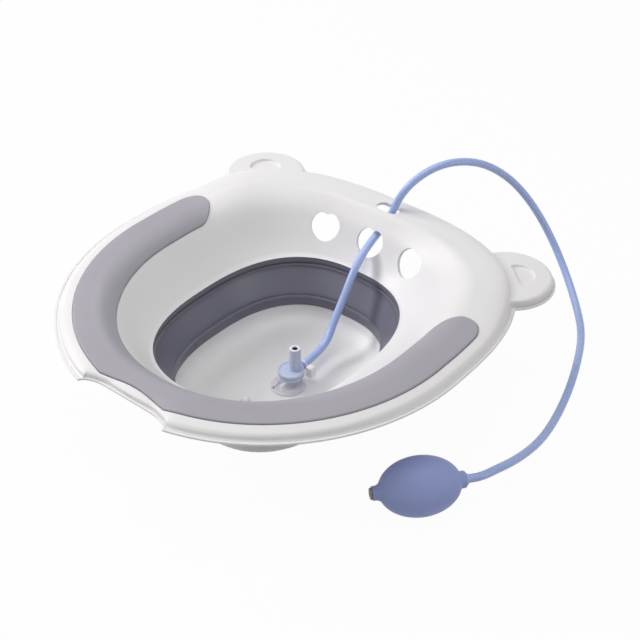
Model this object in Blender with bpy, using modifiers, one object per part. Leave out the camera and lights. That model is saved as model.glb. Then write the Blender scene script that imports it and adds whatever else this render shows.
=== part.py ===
"""Foldable bathing basin with a seat rim, a folding wall, a floor nozzle and a squeeze bulb on a hose.

The floor is z = 0 and the origin lies under the middle of the folding wall. Hearts and handles are at +Y.
"""

import math

import bmesh
import bpy
import numpy as np
from mathutils import Vector

# Lengths are in metres and angles in degrees.
CLEARANCE = 0.0003
OVERRUN = 0.004

# Rim outline in plan
RIM_HALF_WIDTH = 0.1812
RIM_FRONT_REACH = 0.1870
RIM_REAR_REACH = 0.180
RIM_FRONT_POWER = 2.0
RIM_REAR_POWER = 2.8

# Rim section
FLANGE_WIDTH = 0.038
RIM_RISE = 0.0072
REAR_RISE = 0.0074
LIP_THICKNESS = 0.0018
LIP_UNDERSIDE_WIDTH = 0.0063
SHELL_WALL = 0.0028

# The rise towards the rear starts and ends at these shares of the rear reach
REAR_FROM_SHARE = 0.30
REAR_TO_SHARE = 0.66

# Pouring notch in the front of the rim
NOTCH_DEPTH = 0.0144
NOTCH_HALF_FLAT = 0.027
NOTCH_HALF_MOUTH = 0.0456
NOTCH_DIP = 0.0014
NOTCH_SOFT_HALF_FLAT = 0.021
NOTCH_SOFT_HALF_MOUTH = 0.054
NOTCH_SOFT_SHARE = 0.25

# Folding wall
FOLD_TOP_HALF_WIDTH = 0.088
FOLD_TOP_HALF_LENGTH = 0.109
FOLD_FOOT_HALF_WIDTH = 0.0745
FOLD_FOOT_HALF_LENGTH = 0.0948
FOLD_POWER = 2.5
FOLD_THICKNESS = 0.0020
FOLD_WEB = 0.0015
BAND_SETBACK = 0.0004
RIDGE_PROUD = 0.0013
RIDGE_HEIGHT = 0.0016
COLLAR_WALL = 0.0023

# Heights, from the floor up
FLOOR_TOP = 0.0042
BOWL_WALL_TOP = 0.020
LOWER_BAND = 0.0095
MAIN_BAND = 0.0265
UPPER_BAND = 0.0075
LIP_ABOVE_FOLD = 0.0315

# Lower bowl
BOWL_WALL = 0.0024
FOOT_RECESS = 0.0018
GATE_BOSS_RADIUS = 0.016
GATE_BOSS_DRAFT = 0.0008
STUD_RADIUS = 0.0044
STUD_HEIGHT = 0.0078
STUD_CROWN = 0.0020
STUD_SETBACK = 0.044

# Seat pad
PAD_PROUD = 0.0011
PAD_EDGE_PROUD = 0.0001
PAD_DEPTH = 0.0012
PAD_INNER_SHARE = 0.70
PAD_FRONT_MARGIN = 0.0156
PAD_SIDE_MARGIN = 0.0162
PAD_END_ANGLE = 24.5
PAD_NOTCH_DEPTH = 0.0080
PAD_NOTCH_HALF_MOUTH = 0.0372
PAD_GAP = 0.0006

# Handles
EAR_RADIUS = 0.0398
EAR_PLACE_X = 0.1370
EAR_PLACE_Y = 0.1395
EAR_RISE = 0.0085
EAR_WALL = 0.0024
EAR_EDGE = 0.0030
EAR_LIP = 0.0022
EAR_LIFT = 0.0002
EAR_RECESS_RADIUS = 0.0170
EAR_RECESS_DEPTH = 0.0015
EAR_RECESS_OFFSET = 0.0055
EAR_TURN = 48.0

# Hearts and hose slot in the rear wall
HEART_WIDTH = 0.0280
HEART_HEIGHT = 0.0262
HEART_SPREAD = 21.6
HEART_MIDDLE_HEIGHT = 0.0857
HEART_LEAN = 28.0
SLOT_WIDTH = 0.0235
SLOT_LENGTH = 0.0135
SLOT_SETBACK = 0.0280

# Nozzle on its suction cup
NOZZLE_X = 0.0115
NOZZLE_Y = 0.0022
CUP_RADIUS = 0.0133
CUP_HEIGHT = 0.0060
CUP_SKIN = 0.0010
CUP_STEM_RADIUS = 0.0030
CUP_STEM_GRIP = 0.0016
TAB_RADIUS = 0.0150
TAB_OFFSET = 0.0030
TAB_TURN = 220.0
TAB_HOLE_RADIUS = 0.0008
TAB_HOLE_REACH = 0.0160
TAB_HOLE_TURN = 235.0
DISC_RADIUS = 0.01175
DISC_FOOT_HEIGHT = 0.0161
DISC_THICKNESS = 0.0064
DISC_GROOVE = 0.0005
SPOUT_OFFSET_X = 0.0013
SPOUT_OFFSET_Y = 0.0040
SPOUT_RADIUS = 0.0053
SPOUT_LENGTH = 0.0215
SPOUT_BORE = 0.0024
BARB_HEIGHT = 0.0190
BARB_RADIUS = 0.0029
BARB_REACH = 0.0126
BARB_BORE = 0.0011

# Hose and its tie
HOSE_RADIUS = 0.0035
HOSE_POINT_STEP = 0.0150
TIE_WIDTH = 0.0026
TIE_BAND = 0.0009
TIE_PLACE = 0.0022
TIE_HEAD_WIDTH = 0.0068
TIE_HEAD_DEPTH = 0.0068
TIE_HEAD_HEIGHT = 0.0098
TIE_HEAD_SIDE = 0.0075
TIE_HEAD_BACK = 0.0008
TIE_HEAD_DROP = 0.0040
TIE_ROUNDING = 0.0009

# Squeeze bulb and its two valves
BULB_X = 0.1835
BULB_Y = -0.0451
BULB_TURN = 52.0
BULB_RADIUS = 0.0240
BULB_HALF_LENGTH = 0.0335
BULB_WALL = 0.0022
OUTLET_REACH = 0.0370
INLET_REACH = 0.0385
NECK_BORE = 0.0037
INLET_NECK_RADIUS = 0.0057
OUTLET_NECK_RADIUS = 0.0069
NECK_EDGE = 0.0009
VALVE_LENGTH = 0.0090
VALVE_FLANGE_RADIUS = 0.0047
VALVE_FLANGE = 0.0012
VALVE_PORT = 0.0013
VALVE_CHAMBER = 0.0026
VALVE_LIP = 0.0015
VALVE_LIP_LENGTH = 0.0014
VALVE_BALL_RADIUS = 0.0021
VALVE_SEAT_DEPTH = 0.0015

# Heights that follow from the ones above
FOLD_FOOT_Z = BOWL_WALL_TOP
LOWER_RIDGE_Z = FOLD_FOOT_Z + LOWER_BAND
UPPER_RIDGE_Z = LOWER_RIDGE_Z + MAIN_BAND
FOLD_TOP_Z = UPPER_RIDGE_Z + UPPER_BAND
LIP_Z = FOLD_TOP_Z + LIP_ABOVE_FOLD
CREST_Z = LIP_Z + RIM_RISE
DISC_TOP_Z = DISC_FOOT_HEIGHT + DISC_THICKNESS
COLLAR_OUT = FOLD_THICKNESS + CLEARANCE + COLLAR_WALL

# Wall of the upper shell: share of the way out to the flange, then of the way up in front and at the sides
WALL_SHARES = (
    (0.00, 0.000, 0.000),
    (0.06, 0.020, 0.022),
    (0.15, 0.095, 0.105),
    (0.31, 0.265, 0.285),
    (0.48, 0.485, 0.515),
    (0.65, 0.712, 0.757),
    (0.82, 0.865, 0.938),
)

# Rim from flange to lip: shares of the flange's width in from the lip, of its rise, of the notch's cut,
# of the rear rise and of the dip beside the notch
RIM_SHARES = (
    (1.00, 1.00, 0.00, 1.00, 0.00),
    (0.78, 1.03, 0.06, 1.00, 0.10),
    (0.56, 1.03, 0.21, 1.00, 0.50),
    (0.455, 1.00, 0.34, 0.99, 0.90),
    (0.30, 0.91, 0.56, 0.95, 1.00),
    (0.205, 0.74, 0.68, 0.85, 0.70),
    (0.135, 0.50, 0.80, 0.60, 0.30),
    (0.096, 0.34, 0.88, 0.30, 0.00),
    (0.072, 0.25, 0.92, 0.00, 0.00),
    (0.00, 0.25, 1.00, 0.00, 0.00),
)

# Stations of the two lists above that have a point on the underside
WALL_UNDER_STATIONS = (2, 3, 4, 5, 6)
RIM_UNDER_STATIONS = (0, 2, 4)

# Floor and wall inside the lower bowl: share of the wall's radius, share of the wall's height
BOWL_INSIDE_SHARES = ((0.35, 0.0), (0.62, 0.025), (0.79, 0.12), (0.90, 0.32), (0.97, 0.63), (1.0, 1.0))
BOWL_OUTSIDE_SHARES = (0.985, 0.94, 0.865, 0.80)

# Seat pad: places across its half width, its crest's edge, and the angles of the sections in its round ends
PAD_ACROSS_SHARES = (-1.0, -0.6, -0.2, 0.2, 0.6, 1.0)
PAD_CREST_SHARE = 0.94
PAD_END_TURNS = (4.0, 13.0, 26.0, 42.0, 62.0)

# Heart: depth and spread of the dip in its top and of its drawn-out tip, as shares of a circle and angles
HEART_DIP_SHARE = 0.20
HEART_DIP_SPREAD = 17.0
HEART_TIP_SHARE = 0.13
HEART_TIP_SPREAD = 36.0

# Floor stud and suction cup: shares of the radius, and of the crown or of the height
STUD_SHARES = ((0.0, 0.0), (0.6, 0.25), (0.92, 1.0), (1.0, 2.0))
CUP_OUTSIDE_SHARES = ((0.62, 0.66), (0.86, 0.36))
CUP_INSIDE_SHARES = ((0.80, 0.36), (0.55, 0.66))
CUP_EDGE_SHARE = 0.6
CUP_ROOT_SHARE = 1.5
GROOVE_SHARE = 0.56

# Squeeze bulb: angles of the points on its oval, and how far along it the necks begin
BULB_OUTSIDE_TURNS = (22, 32, 45, 60, 75, 90, 105, 120, 135, 148, 160)
BULB_INSIDE_TURNS = (155, 137, 115, 90, 65, 43, 25)
NECK_ROOT_SHARE = 0.965
NECK_BORE_SHARE = 0.975

# Hose, from the nozzle through the middle heart and the slot, over the rear edge and round to the bulb
HOSE_ROUTE = (
    (0.0116, 0.0330, 0.0188),
    (0.0104, 0.0435, 0.0193),
    (0.0091, 0.0550, 0.0234),
    (0.0073, 0.0665, 0.0355),
    (0.0060, 0.0810, 0.0525),
    (0.0047, 0.0945, 0.0688),
    (0.0028, 0.1100, 0.0806),
    (0.0010, 0.1270, 0.0876),
    (0.0012, 0.1390, 0.0932),
    (0.0034, 0.1478, 0.1012),
    (0.0052, 0.1520, 0.1095),
    (0.0090, 0.1560, 0.1222),
    (0.0155, 0.1628, 0.1355),
    (0.0279, 0.1825, 0.1484),
    (0.0408, 0.2086, 0.1476),
    (0.0529, 0.2388, 0.1317),
    (0.0669, 0.2631, 0.1061),
    (0.0839, 0.2765, 0.0769),
    (0.1005, 0.2813, 0.0498),
    (0.1217, 0.2736, 0.0278),
    (0.1451, 0.2556, 0.0127),
    (0.1647, 0.2333, 0.0058),
    (0.1833, 0.1981, 0.0038),
    (0.1998, 0.1551, 0.0038),
    (0.2135, 0.1035, 0.0040),
    (0.2179, 0.0771, 0.0068),
    (0.2198, 0.0500, 0.0122),
    (0.2189, 0.0240, 0.0184),
    (0.2166, 0.0080, 0.0218),
)

RING_STEP = 6.2

# Directions beside the front, as shares of the angle to the notch's corner
NOTCH_SHARES = (0.0, 0.32, 0.59, 0.725, 0.815, 0.92, 0.98, 1.0, 1.22, 1.48, 1.77)
PLAIN_SHARES = (0.0, 0.59, 1.18, 1.77)
TURN_STEPS = 24
SMALL_TURN_STEPS = 16
BALL_SEGMENTS = 10
BALL_RINGS = 6
HOSE_RESOLUTION = 3
HEART_POINTS = 28
SHARP_ANGLE = math.radians(35.0)
MERGE_DISTANCE = 0.00001

collection = None
cutters = None


def clear_scene():
    for item in list(bpy.data.objects):
        bpy.data.objects.remove(item)


def display_colour(red, green, blue):
    """Turn display values from 0 to 1 into the linear values that a shader takes."""
    return tuple(((v + 0.055) / 1.055) ** 2.4 if v > 0.04045 else v / 12.92 for v in (red, green, blue))


def make_material(name, colour, roughness, metallic=0.0, alpha=1.0):
    material = bpy.data.materials.new(name)
    material.use_nodes = True
    shader = material.node_tree.nodes["Principled BSDF"]
    shader.inputs["Base Color"].default_value = (*display_colour(*colour), 1.0)
    shader.inputs["Roughness"].default_value = roughness
    shader.inputs["Metallic"].default_value = metallic
    shader.inputs["Alpha"].default_value = alpha
    return material


def add_object(name, mesh, material=None, location=(0, 0, 0), rotation=(0, 0, 0), parent=None):
    item = bpy.data.objects.new(name, mesh)
    item.location = location
    item.rotation_euler = rotation
    item.parent = parent
    collection.objects.link(item)
    if material is not None:
        mesh.materials.append(material)
    return item


def add_cutter(name, mesh, location=(0, 0, 0), rotation=(0, 0, 0)):
    item = bpy.data.objects.new(name, mesh)
    item.location = location
    item.rotation_euler = rotation
    item.hide_render = True
    item.display_type = "WIRE"
    cutters.objects.link(item)
    return item


def join_shape(target, tool, operation):
    modifier = target.modifiers.new(operation.title() + " " + tool.name, "BOOLEAN")
    modifier.object = tool
    modifier.operation = operation
    modifier.solver = "EXACT"
    return modifier


def shade(mesh):
    mesh.shade_smooth()
    mesh.set_sharp_from_angle(angle=SHARP_ANGLE)


def finish_mesh(name, builder):
    bmesh.ops.remove_doubles(builder, verts=builder.verts, dist=MERGE_DISTANCE)
    bmesh.ops.recalc_face_normals(builder, faces=builder.faces)
    mesh = bpy.data.meshes.new(name)
    builder.to_mesh(mesh)
    builder.free()
    shade(mesh)
    return mesh


def loft(name, sections, close_along=True, close_across=True):
    """Skin a list of sections, each with the same number of points."""
    builder = bmesh.new()
    grid = [[builder.verts.new(point) for point in section] for section in sections]
    rows = len(grid)
    count = len(grid[0])
    for row in range(rows if close_along else rows - 1):
        here = grid[row]
        following = grid[(row + 1) % rows]
        for index in range(count if close_across else count - 1):
            after = (index + 1) % count
            builder.faces.new((here[index], following[index], following[after], here[after]))
    if not close_along:
        builder.faces.new(grid[0])
        builder.faces.new(grid[-1])
    return finish_mesh(name, builder)


def turned(name, profile):
    """Turn a profile about the local Z axis: a closed loop, or a line that starts and ends on the axis."""
    builder = bmesh.new()
    points = [builder.verts.new((radius, 0, height)) for radius, height in profile]
    on_axis = profile[0][0] == 0
    for index in range(len(points) - 1 if on_axis else len(points)):
        builder.edges.new((points[index], points[(index + 1) % len(points)]))
    mesh = bpy.data.meshes.new(name)
    builder.to_mesh(mesh)
    builder.free()
    return mesh


def add_screw(item, steps):
    screw = item.modifiers.new("Turn", "SCREW")
    screw.steps = steps
    screw.render_steps = steps
    screw.use_merge_vertices = True
    screw.merge_threshold = MERGE_DISTANCE
    screw.use_smooth_shade = True
    return screw


def prism(name, outline, bottom, top):
    """A flat outline carried straight up from one height to another."""
    curve = bpy.data.curves.new(name, "CURVE")
    curve.dimensions = "2D"
    curve.fill_mode = "BOTH"
    curve.extrude = (top - bottom) / 2
    spline = curve.splines.new("POLY")
    spline.points.add(len(outline) - 1)
    for point, (x, y) in zip(spline.points, outline):
        point.co = (x, y, 0, 1)
    spline.use_cyclic_u = True
    guide = bpy.data.objects.new(name, curve)
    bpy.context.scene.collection.objects.link(guide)
    bpy.context.view_layer.update()
    evaluated = guide.evaluated_get(bpy.context.evaluated_depsgraph_get())
    mesh = bpy.data.meshes.new_from_object(evaluated)
    bpy.data.objects.remove(guide)
    builder = bmesh.new()
    builder.from_mesh(mesh)
    bmesh.ops.translate(builder, verts=builder.verts, vec=(0, 0, (top + bottom) / 2))
    bpy.data.meshes.remove(mesh)
    return finish_mesh(name, builder)


def add_cylinder_cutter(name, radius, bottom, top, steps, location, rotation=(0, 0, 0)):
    profile = ((0, top), (radius, top), (radius, bottom), (0, bottom))
    item = add_cutter(name, turned(name, profile), location, rotation)
    add_screw(item, steps)
    return item


def smooth_step(value, low, high):
    share = min(max((value - low) / (high - low), 0.0), 1.0)
    return share * share * (3 - 2 * share)


def oval_radius(angle, half_x, half_y, power):
    """Distance from the middle to a squared-off oval in the direction of the angle."""
    across = abs(math.cos(angle)) / half_x
    along = abs(math.sin(angle)) / half_y
    return (across ** power + along ** power) ** (-1 / power)


def outline_radius(angle):
    if math.sin(angle) < 0:
        return oval_radius(angle, RIM_HALF_WIDTH, RIM_FRONT_REACH, RIM_FRONT_POWER)
    return oval_radius(angle, RIM_HALF_WIDTH, RIM_REAR_REACH, RIM_REAR_POWER)


def notch_mouth_reach():
    """How far forward the rim reaches at the notch's corners."""
    return RIM_FRONT_REACH * math.sqrt(1 - (NOTCH_HALF_MOUTH / RIM_HALF_WIDTH) ** 2)


def notch_inset(angle):
    """How far the pouring notch cuts in: to a straight edge that curves out to a corner at each end."""
    reach = outline_radius(angle)
    sideways = abs(reach * math.cos(angle))
    if math.sin(angle) >= 0 or sideways >= NOTCH_HALF_MOUTH:
        return 0.0
    run = max(sideways - NOTCH_HALF_FLAT, 0) / (NOTCH_HALF_MOUTH - NOTCH_HALF_FLAT)
    edge = RIM_FRONT_REACH - NOTCH_DEPTH
    edge += (notch_mouth_reach() - edge) * (1 - math.sqrt(1 - run ** 2))
    return max(reach + edge / math.sin(angle), 0.0)


def soft_notch_inset(angle):
    """The same cut with its corners eased, for the roll inside the lip."""
    sideways = abs(outline_radius(angle) * math.cos(angle))
    if math.sin(angle) >= 0 or sideways >= NOTCH_SOFT_HALF_MOUTH:
        return 0.0
    return NOTCH_DEPTH * (1 - smooth_step(sideways, NOTCH_SOFT_HALF_FLAT, NOTCH_SOFT_HALF_MOUTH))


def pad_notch_inset(angle):
    """How far the seat pad's outer edge draws back beside the notch."""
    sideways = abs(outline_radius(angle) * math.cos(angle))
    if math.sin(angle) >= 0 or sideways >= PAD_NOTCH_HALF_MOUTH:
        return 0.0
    return PAD_NOTCH_DEPTH * (1 - (sideways / PAD_NOTCH_HALF_MOUTH) ** 2)


def rear_share(angle):
    return smooth_step(math.sin(angle), REAR_FROM_SHARE, REAR_TO_SHARE)


def fold_radius(angle, share):
    """The folding wall's inner face: share 0 at its foot and 1 at its top."""
    half_x = FOLD_FOOT_HALF_WIDTH + share * (FOLD_TOP_HALF_WIDTH - FOLD_FOOT_HALF_WIDTH)
    half_y = FOLD_FOOT_HALF_LENGTH + share * (FOLD_TOP_HALF_LENGTH - FOLD_FOOT_HALF_LENGTH)
    return oval_radius(angle, half_x, half_y, FOLD_POWER)


def rim_point(angle, shares):
    inward, upward, notch_part, rear_part, dip_part = shares
    soft = min(inward / NOTCH_SOFT_SHARE, 1.0)
    cut = soft * soft_notch_inset(angle) + (1 - soft) * notch_inset(angle)
    radius = outline_radius(angle) - inward * FLANGE_WIDTH - notch_part * cut
    height = LIP_Z + upward * RIM_RISE + rear_part * REAR_RISE * rear_share(angle)
    return radius, height - dip_part * NOTCH_DIP * cut / NOTCH_DEPTH


def shell_top_line(angle):
    """The upper shell's visible face in one upright plane, from the folding wall out to the lip."""
    start = fold_radius(angle, 1.0)
    flange_radius, flange_height = rim_point(angle, RIM_SHARES[0])
    side = math.cos(angle) ** 2
    line = []
    for outward, front_rise, side_rise in WALL_SHARES:
        upward = front_rise + side * (side_rise - front_rise)
        radius = start + outward * (flange_radius - start)
        height = FOLD_TOP_Z + upward * (flange_height - FOLD_TOP_Z)
        line.append((radius, height))
    line.extend(rim_point(angle, shares) for shares in RIM_SHARES)
    return np.array(line)


def line_normals(line):
    steps = np.diff(line, axis=0)
    steps /= np.linalg.norm(steps, axis=1)[:, None]
    mean = np.vstack((steps[:1], steps[:-1] + steps[1:], steps[-1:]))
    mean /= np.linalg.norm(mean, axis=1)[:, None]
    return np.column_stack((-mean[:, 1], mean[:, 0]))


def place(angle, line):
    return [(radius * math.cos(angle), radius * math.sin(angle), height) for radius, height in line]


def shell_section(angle):
    """The upper shell's closed section: visible face, lip, underside and collar."""
    top = shell_top_line(angle)
    normals = line_normals(top)
    lip_radius = top[-1][0]
    skirt_index = len(WALL_SHARES) + 7
    skirt_top = top[skirt_index] - SHELL_WALL * normals[skirt_index]
    lip_inside = max(lip_radius - LIP_UNDERSIDE_WIDTH, skirt_top[0])
    under = [(lip_radius, LIP_Z), (lip_inside, LIP_Z), tuple(skirt_top)]
    for station in reversed(RIM_UNDER_STATIONS):
        index = len(WALL_SHARES) + station
        under.append(tuple(top[index] - SHELL_WALL * normals[index]))
    for index in reversed(WALL_UNDER_STATIONS):
        under.append(tuple(top[index] - SHELL_WALL * normals[index]))
    start = fold_radius(angle, 1.0)
    collar_in = start + FOLD_THICKNESS + CLEARANCE
    collar_out = start + COLLAR_OUT
    collar_foot = UPPER_RIDGE_Z + CLEARANCE
    collar = [
        (collar_out, FOLD_TOP_Z - COLLAR_WALL / 2),
        (collar_out, collar_foot),
        (collar_in, collar_foot),
        (collar_in, FOLD_TOP_Z),
    ]
    return place(angle, list(top) + under + collar)


def ring_angles(front_shares):
    """Directions round the basin, from the front, with the given shares of the notch on each side of it."""
    corner = math.degrees(math.atan2(NOTCH_HALF_MOUTH, notch_mouth_reach()))
    side = [share * corner for share in front_shares]
    rest = 180.0 - side[-1]
    steps = round(rest / RING_STEP)
    side.extend([180.0 - rest * (steps - index) / steps for index in range(1, steps)])
    turns = side + [180.0] + [-turn for turn in reversed(side[1:])]
    return [math.radians(turn - 90.0) for turn in turns]


def surface_point(angle, radius, lift):
    """A point at a distance from the upper shell's visible face, square to it."""
    line = shell_top_line(angle)
    normals = line_normals(line)
    height = np.interp(radius, line[:-2, 0], line[:-2, 1])
    across = np.interp(radius, line[:-2, 0], normals[:-2, 0])
    upward = np.interp(radius, line[:-2, 0], normals[:-2, 1])
    length = math.hypot(across, upward)
    return radius + lift * across / length, height + lift * upward / length


def pad_limits(angle):
    start = fold_radius(angle, 1.0)
    flange_radius = rim_point(angle, RIM_SHARES[0])[0]
    side = math.cos(angle) ** 2
    inner = start + PAD_INNER_SHARE * (flange_radius - start)
    margin = PAD_FRONT_MARGIN + side * (PAD_SIDE_MARGIN - PAD_FRONT_MARGIN)
    outer = outline_radius(angle) - margin - pad_notch_inset(angle)
    return inner, outer


def pad_section(angle, width_share, stations, grow):
    inner, outer = pad_limits(angle)
    middle = (inner + outer) / 2
    half = (outer - inner) / 2 * width_share + grow
    line = [surface_point(angle, middle + half * across, lift) for across, lift in stations]
    return place(angle, line)


def pad_sections(stations, grow):
    """Sections from one rear end round the front to the other, narrowing to a round tip at each."""
    tip = math.radians(PAD_END_ANGLE)
    inner, outer = pad_limits(tip)
    round_off = (outer - inner) / (outer + inner)
    grow_angle = 2 * grow / (outer + inner)
    inner_end = tip - round_off
    turns = []
    for degrees in PAD_END_TURNS:
        share = math.sin(math.radians(degrees))
        turns.append((inner_end + (round_off + grow_angle) * math.cos(math.radians(degrees)), share))
    side = [angle for angle in ring_angles(NOTCH_SHARES) if math.cos(angle) > 0 and angle < inner_end]
    turns.extend((angle, 1.0) for angle in reversed(side))
    right = [pad_section(angle, share, stations, grow * share) for angle, share in turns]
    middle = pad_section(-math.pi / 2, 1.0, stations, grow)
    left = [[(-x, y, z) for x, y, z in section] for section in reversed(right)]
    return right + [middle] + left


def heart_outline():
    """A rounded heart: a circle with a dip at the top and a drawn-out tip, scaled to its width and height."""
    points = []
    for index in range(HEART_POINTS):
        turn = 360.0 * index / HEART_POINTS
        from_top = min(turn, 360.0 - turn)
        from_tip = abs(turn - 180.0)
        radius = 1 - HEART_DIP_SHARE * math.exp(-((from_top / HEART_DIP_SPREAD) ** 2))
        radius += HEART_TIP_SHARE * math.exp(-((from_tip / HEART_TIP_SPREAD) ** 2))
        points.append((radius * math.sin(math.radians(turn)), radius * math.cos(math.radians(turn))))
    wide = max(x for x, y in points)
    high = max(y for x, y in points)
    low = min(y for x, y in points)
    middle = (high + low) / 2
    scale_x = HEART_WIDTH / 2 / wide
    scale_y = HEART_HEIGHT / (high - low)
    return [(x * scale_x, (y - middle) * scale_y) for x, y in points]


def rounded_slot_outline(width, length, count):
    straight = (width - length) / 2
    points = []
    for index in range(count):
        angle = math.tau * (index + 0.5) / count
        x = length / 2 * math.cos(angle)
        points.append((x + math.copysign(straight, x), length / 2 * math.sin(angle)))
    return points


def half_disc_outline(radius, count):
    """A D with its straight side on the local Y axis and rounded corners."""
    corner = radius / 10
    points = []
    for index in range(count):
        angle = math.pi * (index / (count - 1) - 0.5)
        points.append((corner + (radius - corner) * math.cos(angle), (radius - corner) * math.sin(angle)))
    points.append((0, radius - corner - corner))
    points.append((0, corner + corner - radius))
    return points


def make_ear_tool(side):
    """One handle: a shallow turned cap with a lip, cut off inside the rim's skirt."""
    plate_z = LIP_Z + EAR_RISE
    foot_z = LIP_Z + EAR_LIFT
    inner = EAR_RADIUS - EAR_LIP - EAR_WALL
    profile = (
        (0, plate_z),
        (EAR_RADIUS - EAR_LIP - EAR_EDGE, plate_z),
        (EAR_RADIUS - EAR_LIP - EAR_EDGE / 3, plate_z - EAR_EDGE / 3),
        (EAR_RADIUS - EAR_LIP, plate_z - EAR_EDGE),
        (EAR_RADIUS - EAR_LIP, foot_z + LIP_THICKNESS),
        (EAR_RADIUS, foot_z + LIP_THICKNESS),
        (EAR_RADIUS, foot_z),
        (inner, foot_z),
        (inner, plate_z - EAR_WALL - EAR_EDGE / 3),
        (inner - EAR_EDGE / 3, plate_z - EAR_WALL),
        (0, plate_z - EAR_WALL),
    )
    name = "ear_right" if side > 0 else "ear_left"
    ear = add_cutter(name, turned(name, profile), (side * EAR_PLACE_X, EAR_PLACE_Y, 0))
    add_screw(ear, 2 * TURN_STEPS)
    return ear


def make_rim_core():
    """Everything inside the middle of the rim's skirt, which the handles stop at."""
    inset = RIM_SHARES[6][0] * FLANGE_WIDTH + SHELL_WALL / 2
    outline = []
    for angle in ring_angles(NOTCH_SHARES):
        radius = outline_radius(angle) - inset - notch_inset(angle)
        outline.append((radius * math.cos(angle), radius * math.sin(angle)))
    return add_cutter("rim_core", prism("rim_core", outline, LIP_Z - OVERRUN, CREST_Z + OVERRUN))


def make_ear_recess(side):
    turn = math.radians(EAR_TURN if side > 0 else 180.0 - EAR_TURN)
    plate_z = LIP_Z + EAR_RISE
    name = "ear_recess_right" if side > 0 else "ear_recess_left"
    mesh = prism(name, half_disc_outline(EAR_RECESS_RADIUS, 13), plate_z - EAR_RECESS_DEPTH, plate_z + OVERRUN)
    x = side * EAR_PLACE_X + EAR_RECESS_OFFSET * math.cos(turn)
    y = EAR_PLACE_Y + EAR_RECESS_OFFSET * math.sin(turn)
    return add_cutter(name, mesh, (x, y, 0), (0, 0, turn))


def wall_radius_at(angle, height):
    line = shell_top_line(angle)
    rising = line[: len(WALL_SHARES) + 1]
    return np.interp(height, rising[:, 1], rising[:, 0])


def make_heart_cutters():
    tools = []
    mesh = prism("heart_cutter", heart_outline(), -FLANGE_WIDTH / 4, FLANGE_WIDTH / 4)
    lean = math.radians(90.0 - HEART_LEAN)
    for index, turn in enumerate((-HEART_SPREAD, 0.0, HEART_SPREAD)):
        angle = math.radians(90.0 + turn)
        radius = wall_radius_at(angle, HEART_MIDDLE_HEIGHT)
        location = (radius * math.cos(angle), radius * math.sin(angle), HEART_MIDDLE_HEIGHT)
        rotation = (lean, 0, math.radians(turn))
        tools.append(add_cutter("heart_cutter_" + str(index + 1), mesh, location, rotation))
    return tools


def make_slot_cutter():
    outline = rounded_slot_outline(SLOT_WIDTH, SLOT_LENGTH, 20)
    mesh = prism("hose_slot_cutter", outline, LIP_Z - OVERRUN, CREST_Z + REAR_RISE + OVERRUN)
    return add_cutter("hose_slot_cutter", mesh, (0, RIM_REAR_REACH - SLOT_SETBACK, 0))


def make_pad_recess():
    stations = [(share, -PAD_DEPTH - CLEARANCE) for share in PAD_ACROSS_SHARES]
    stations.extend((share, OVERRUN) for share in reversed(PAD_ACROSS_SHARES))
    return add_cutter("pad_recess", loft("pad_recess", pad_sections(stations, PAD_GAP), close_along=False))


def make_upper_shell(material):
    mesh = loft("upper_shell", [shell_section(angle) for angle in ring_angles(NOTCH_SHARES)])
    shell = add_object("upper_shell", mesh, material)
    core = make_rim_core()
    for side in (1, -1):
        ear = make_ear_tool(side)
        join_shape(ear, core, "DIFFERENCE")
        join_shape(ear, make_ear_recess(side), "DIFFERENCE")
        join_shape(shell, ear, "UNION")
    for tool in make_heart_cutters():
        join_shape(shell, tool, "DIFFERENCE")
    join_shape(shell, make_slot_cutter(), "DIFFERENCE")
    join_shape(shell, make_pad_recess(), "DIFFERENCE")
    return shell


def make_seat_pad(material):
    stations = [(share, -PAD_DEPTH) for share in PAD_ACROSS_SHARES]
    stations.extend(((1, PAD_EDGE_PROUD), (PAD_CREST_SHARE, PAD_PROUD)))
    stations.extend((share, PAD_PROUD) for share in reversed(PAD_ACROSS_SHARES[1:-1]))
    stations.extend(((-PAD_CREST_SHARE, PAD_PROUD), (-1, PAD_EDGE_PROUD)))
    return add_object("seat_pad", loft("seat_pad", pad_sections(stations, 0), close_along=False), material)


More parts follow.
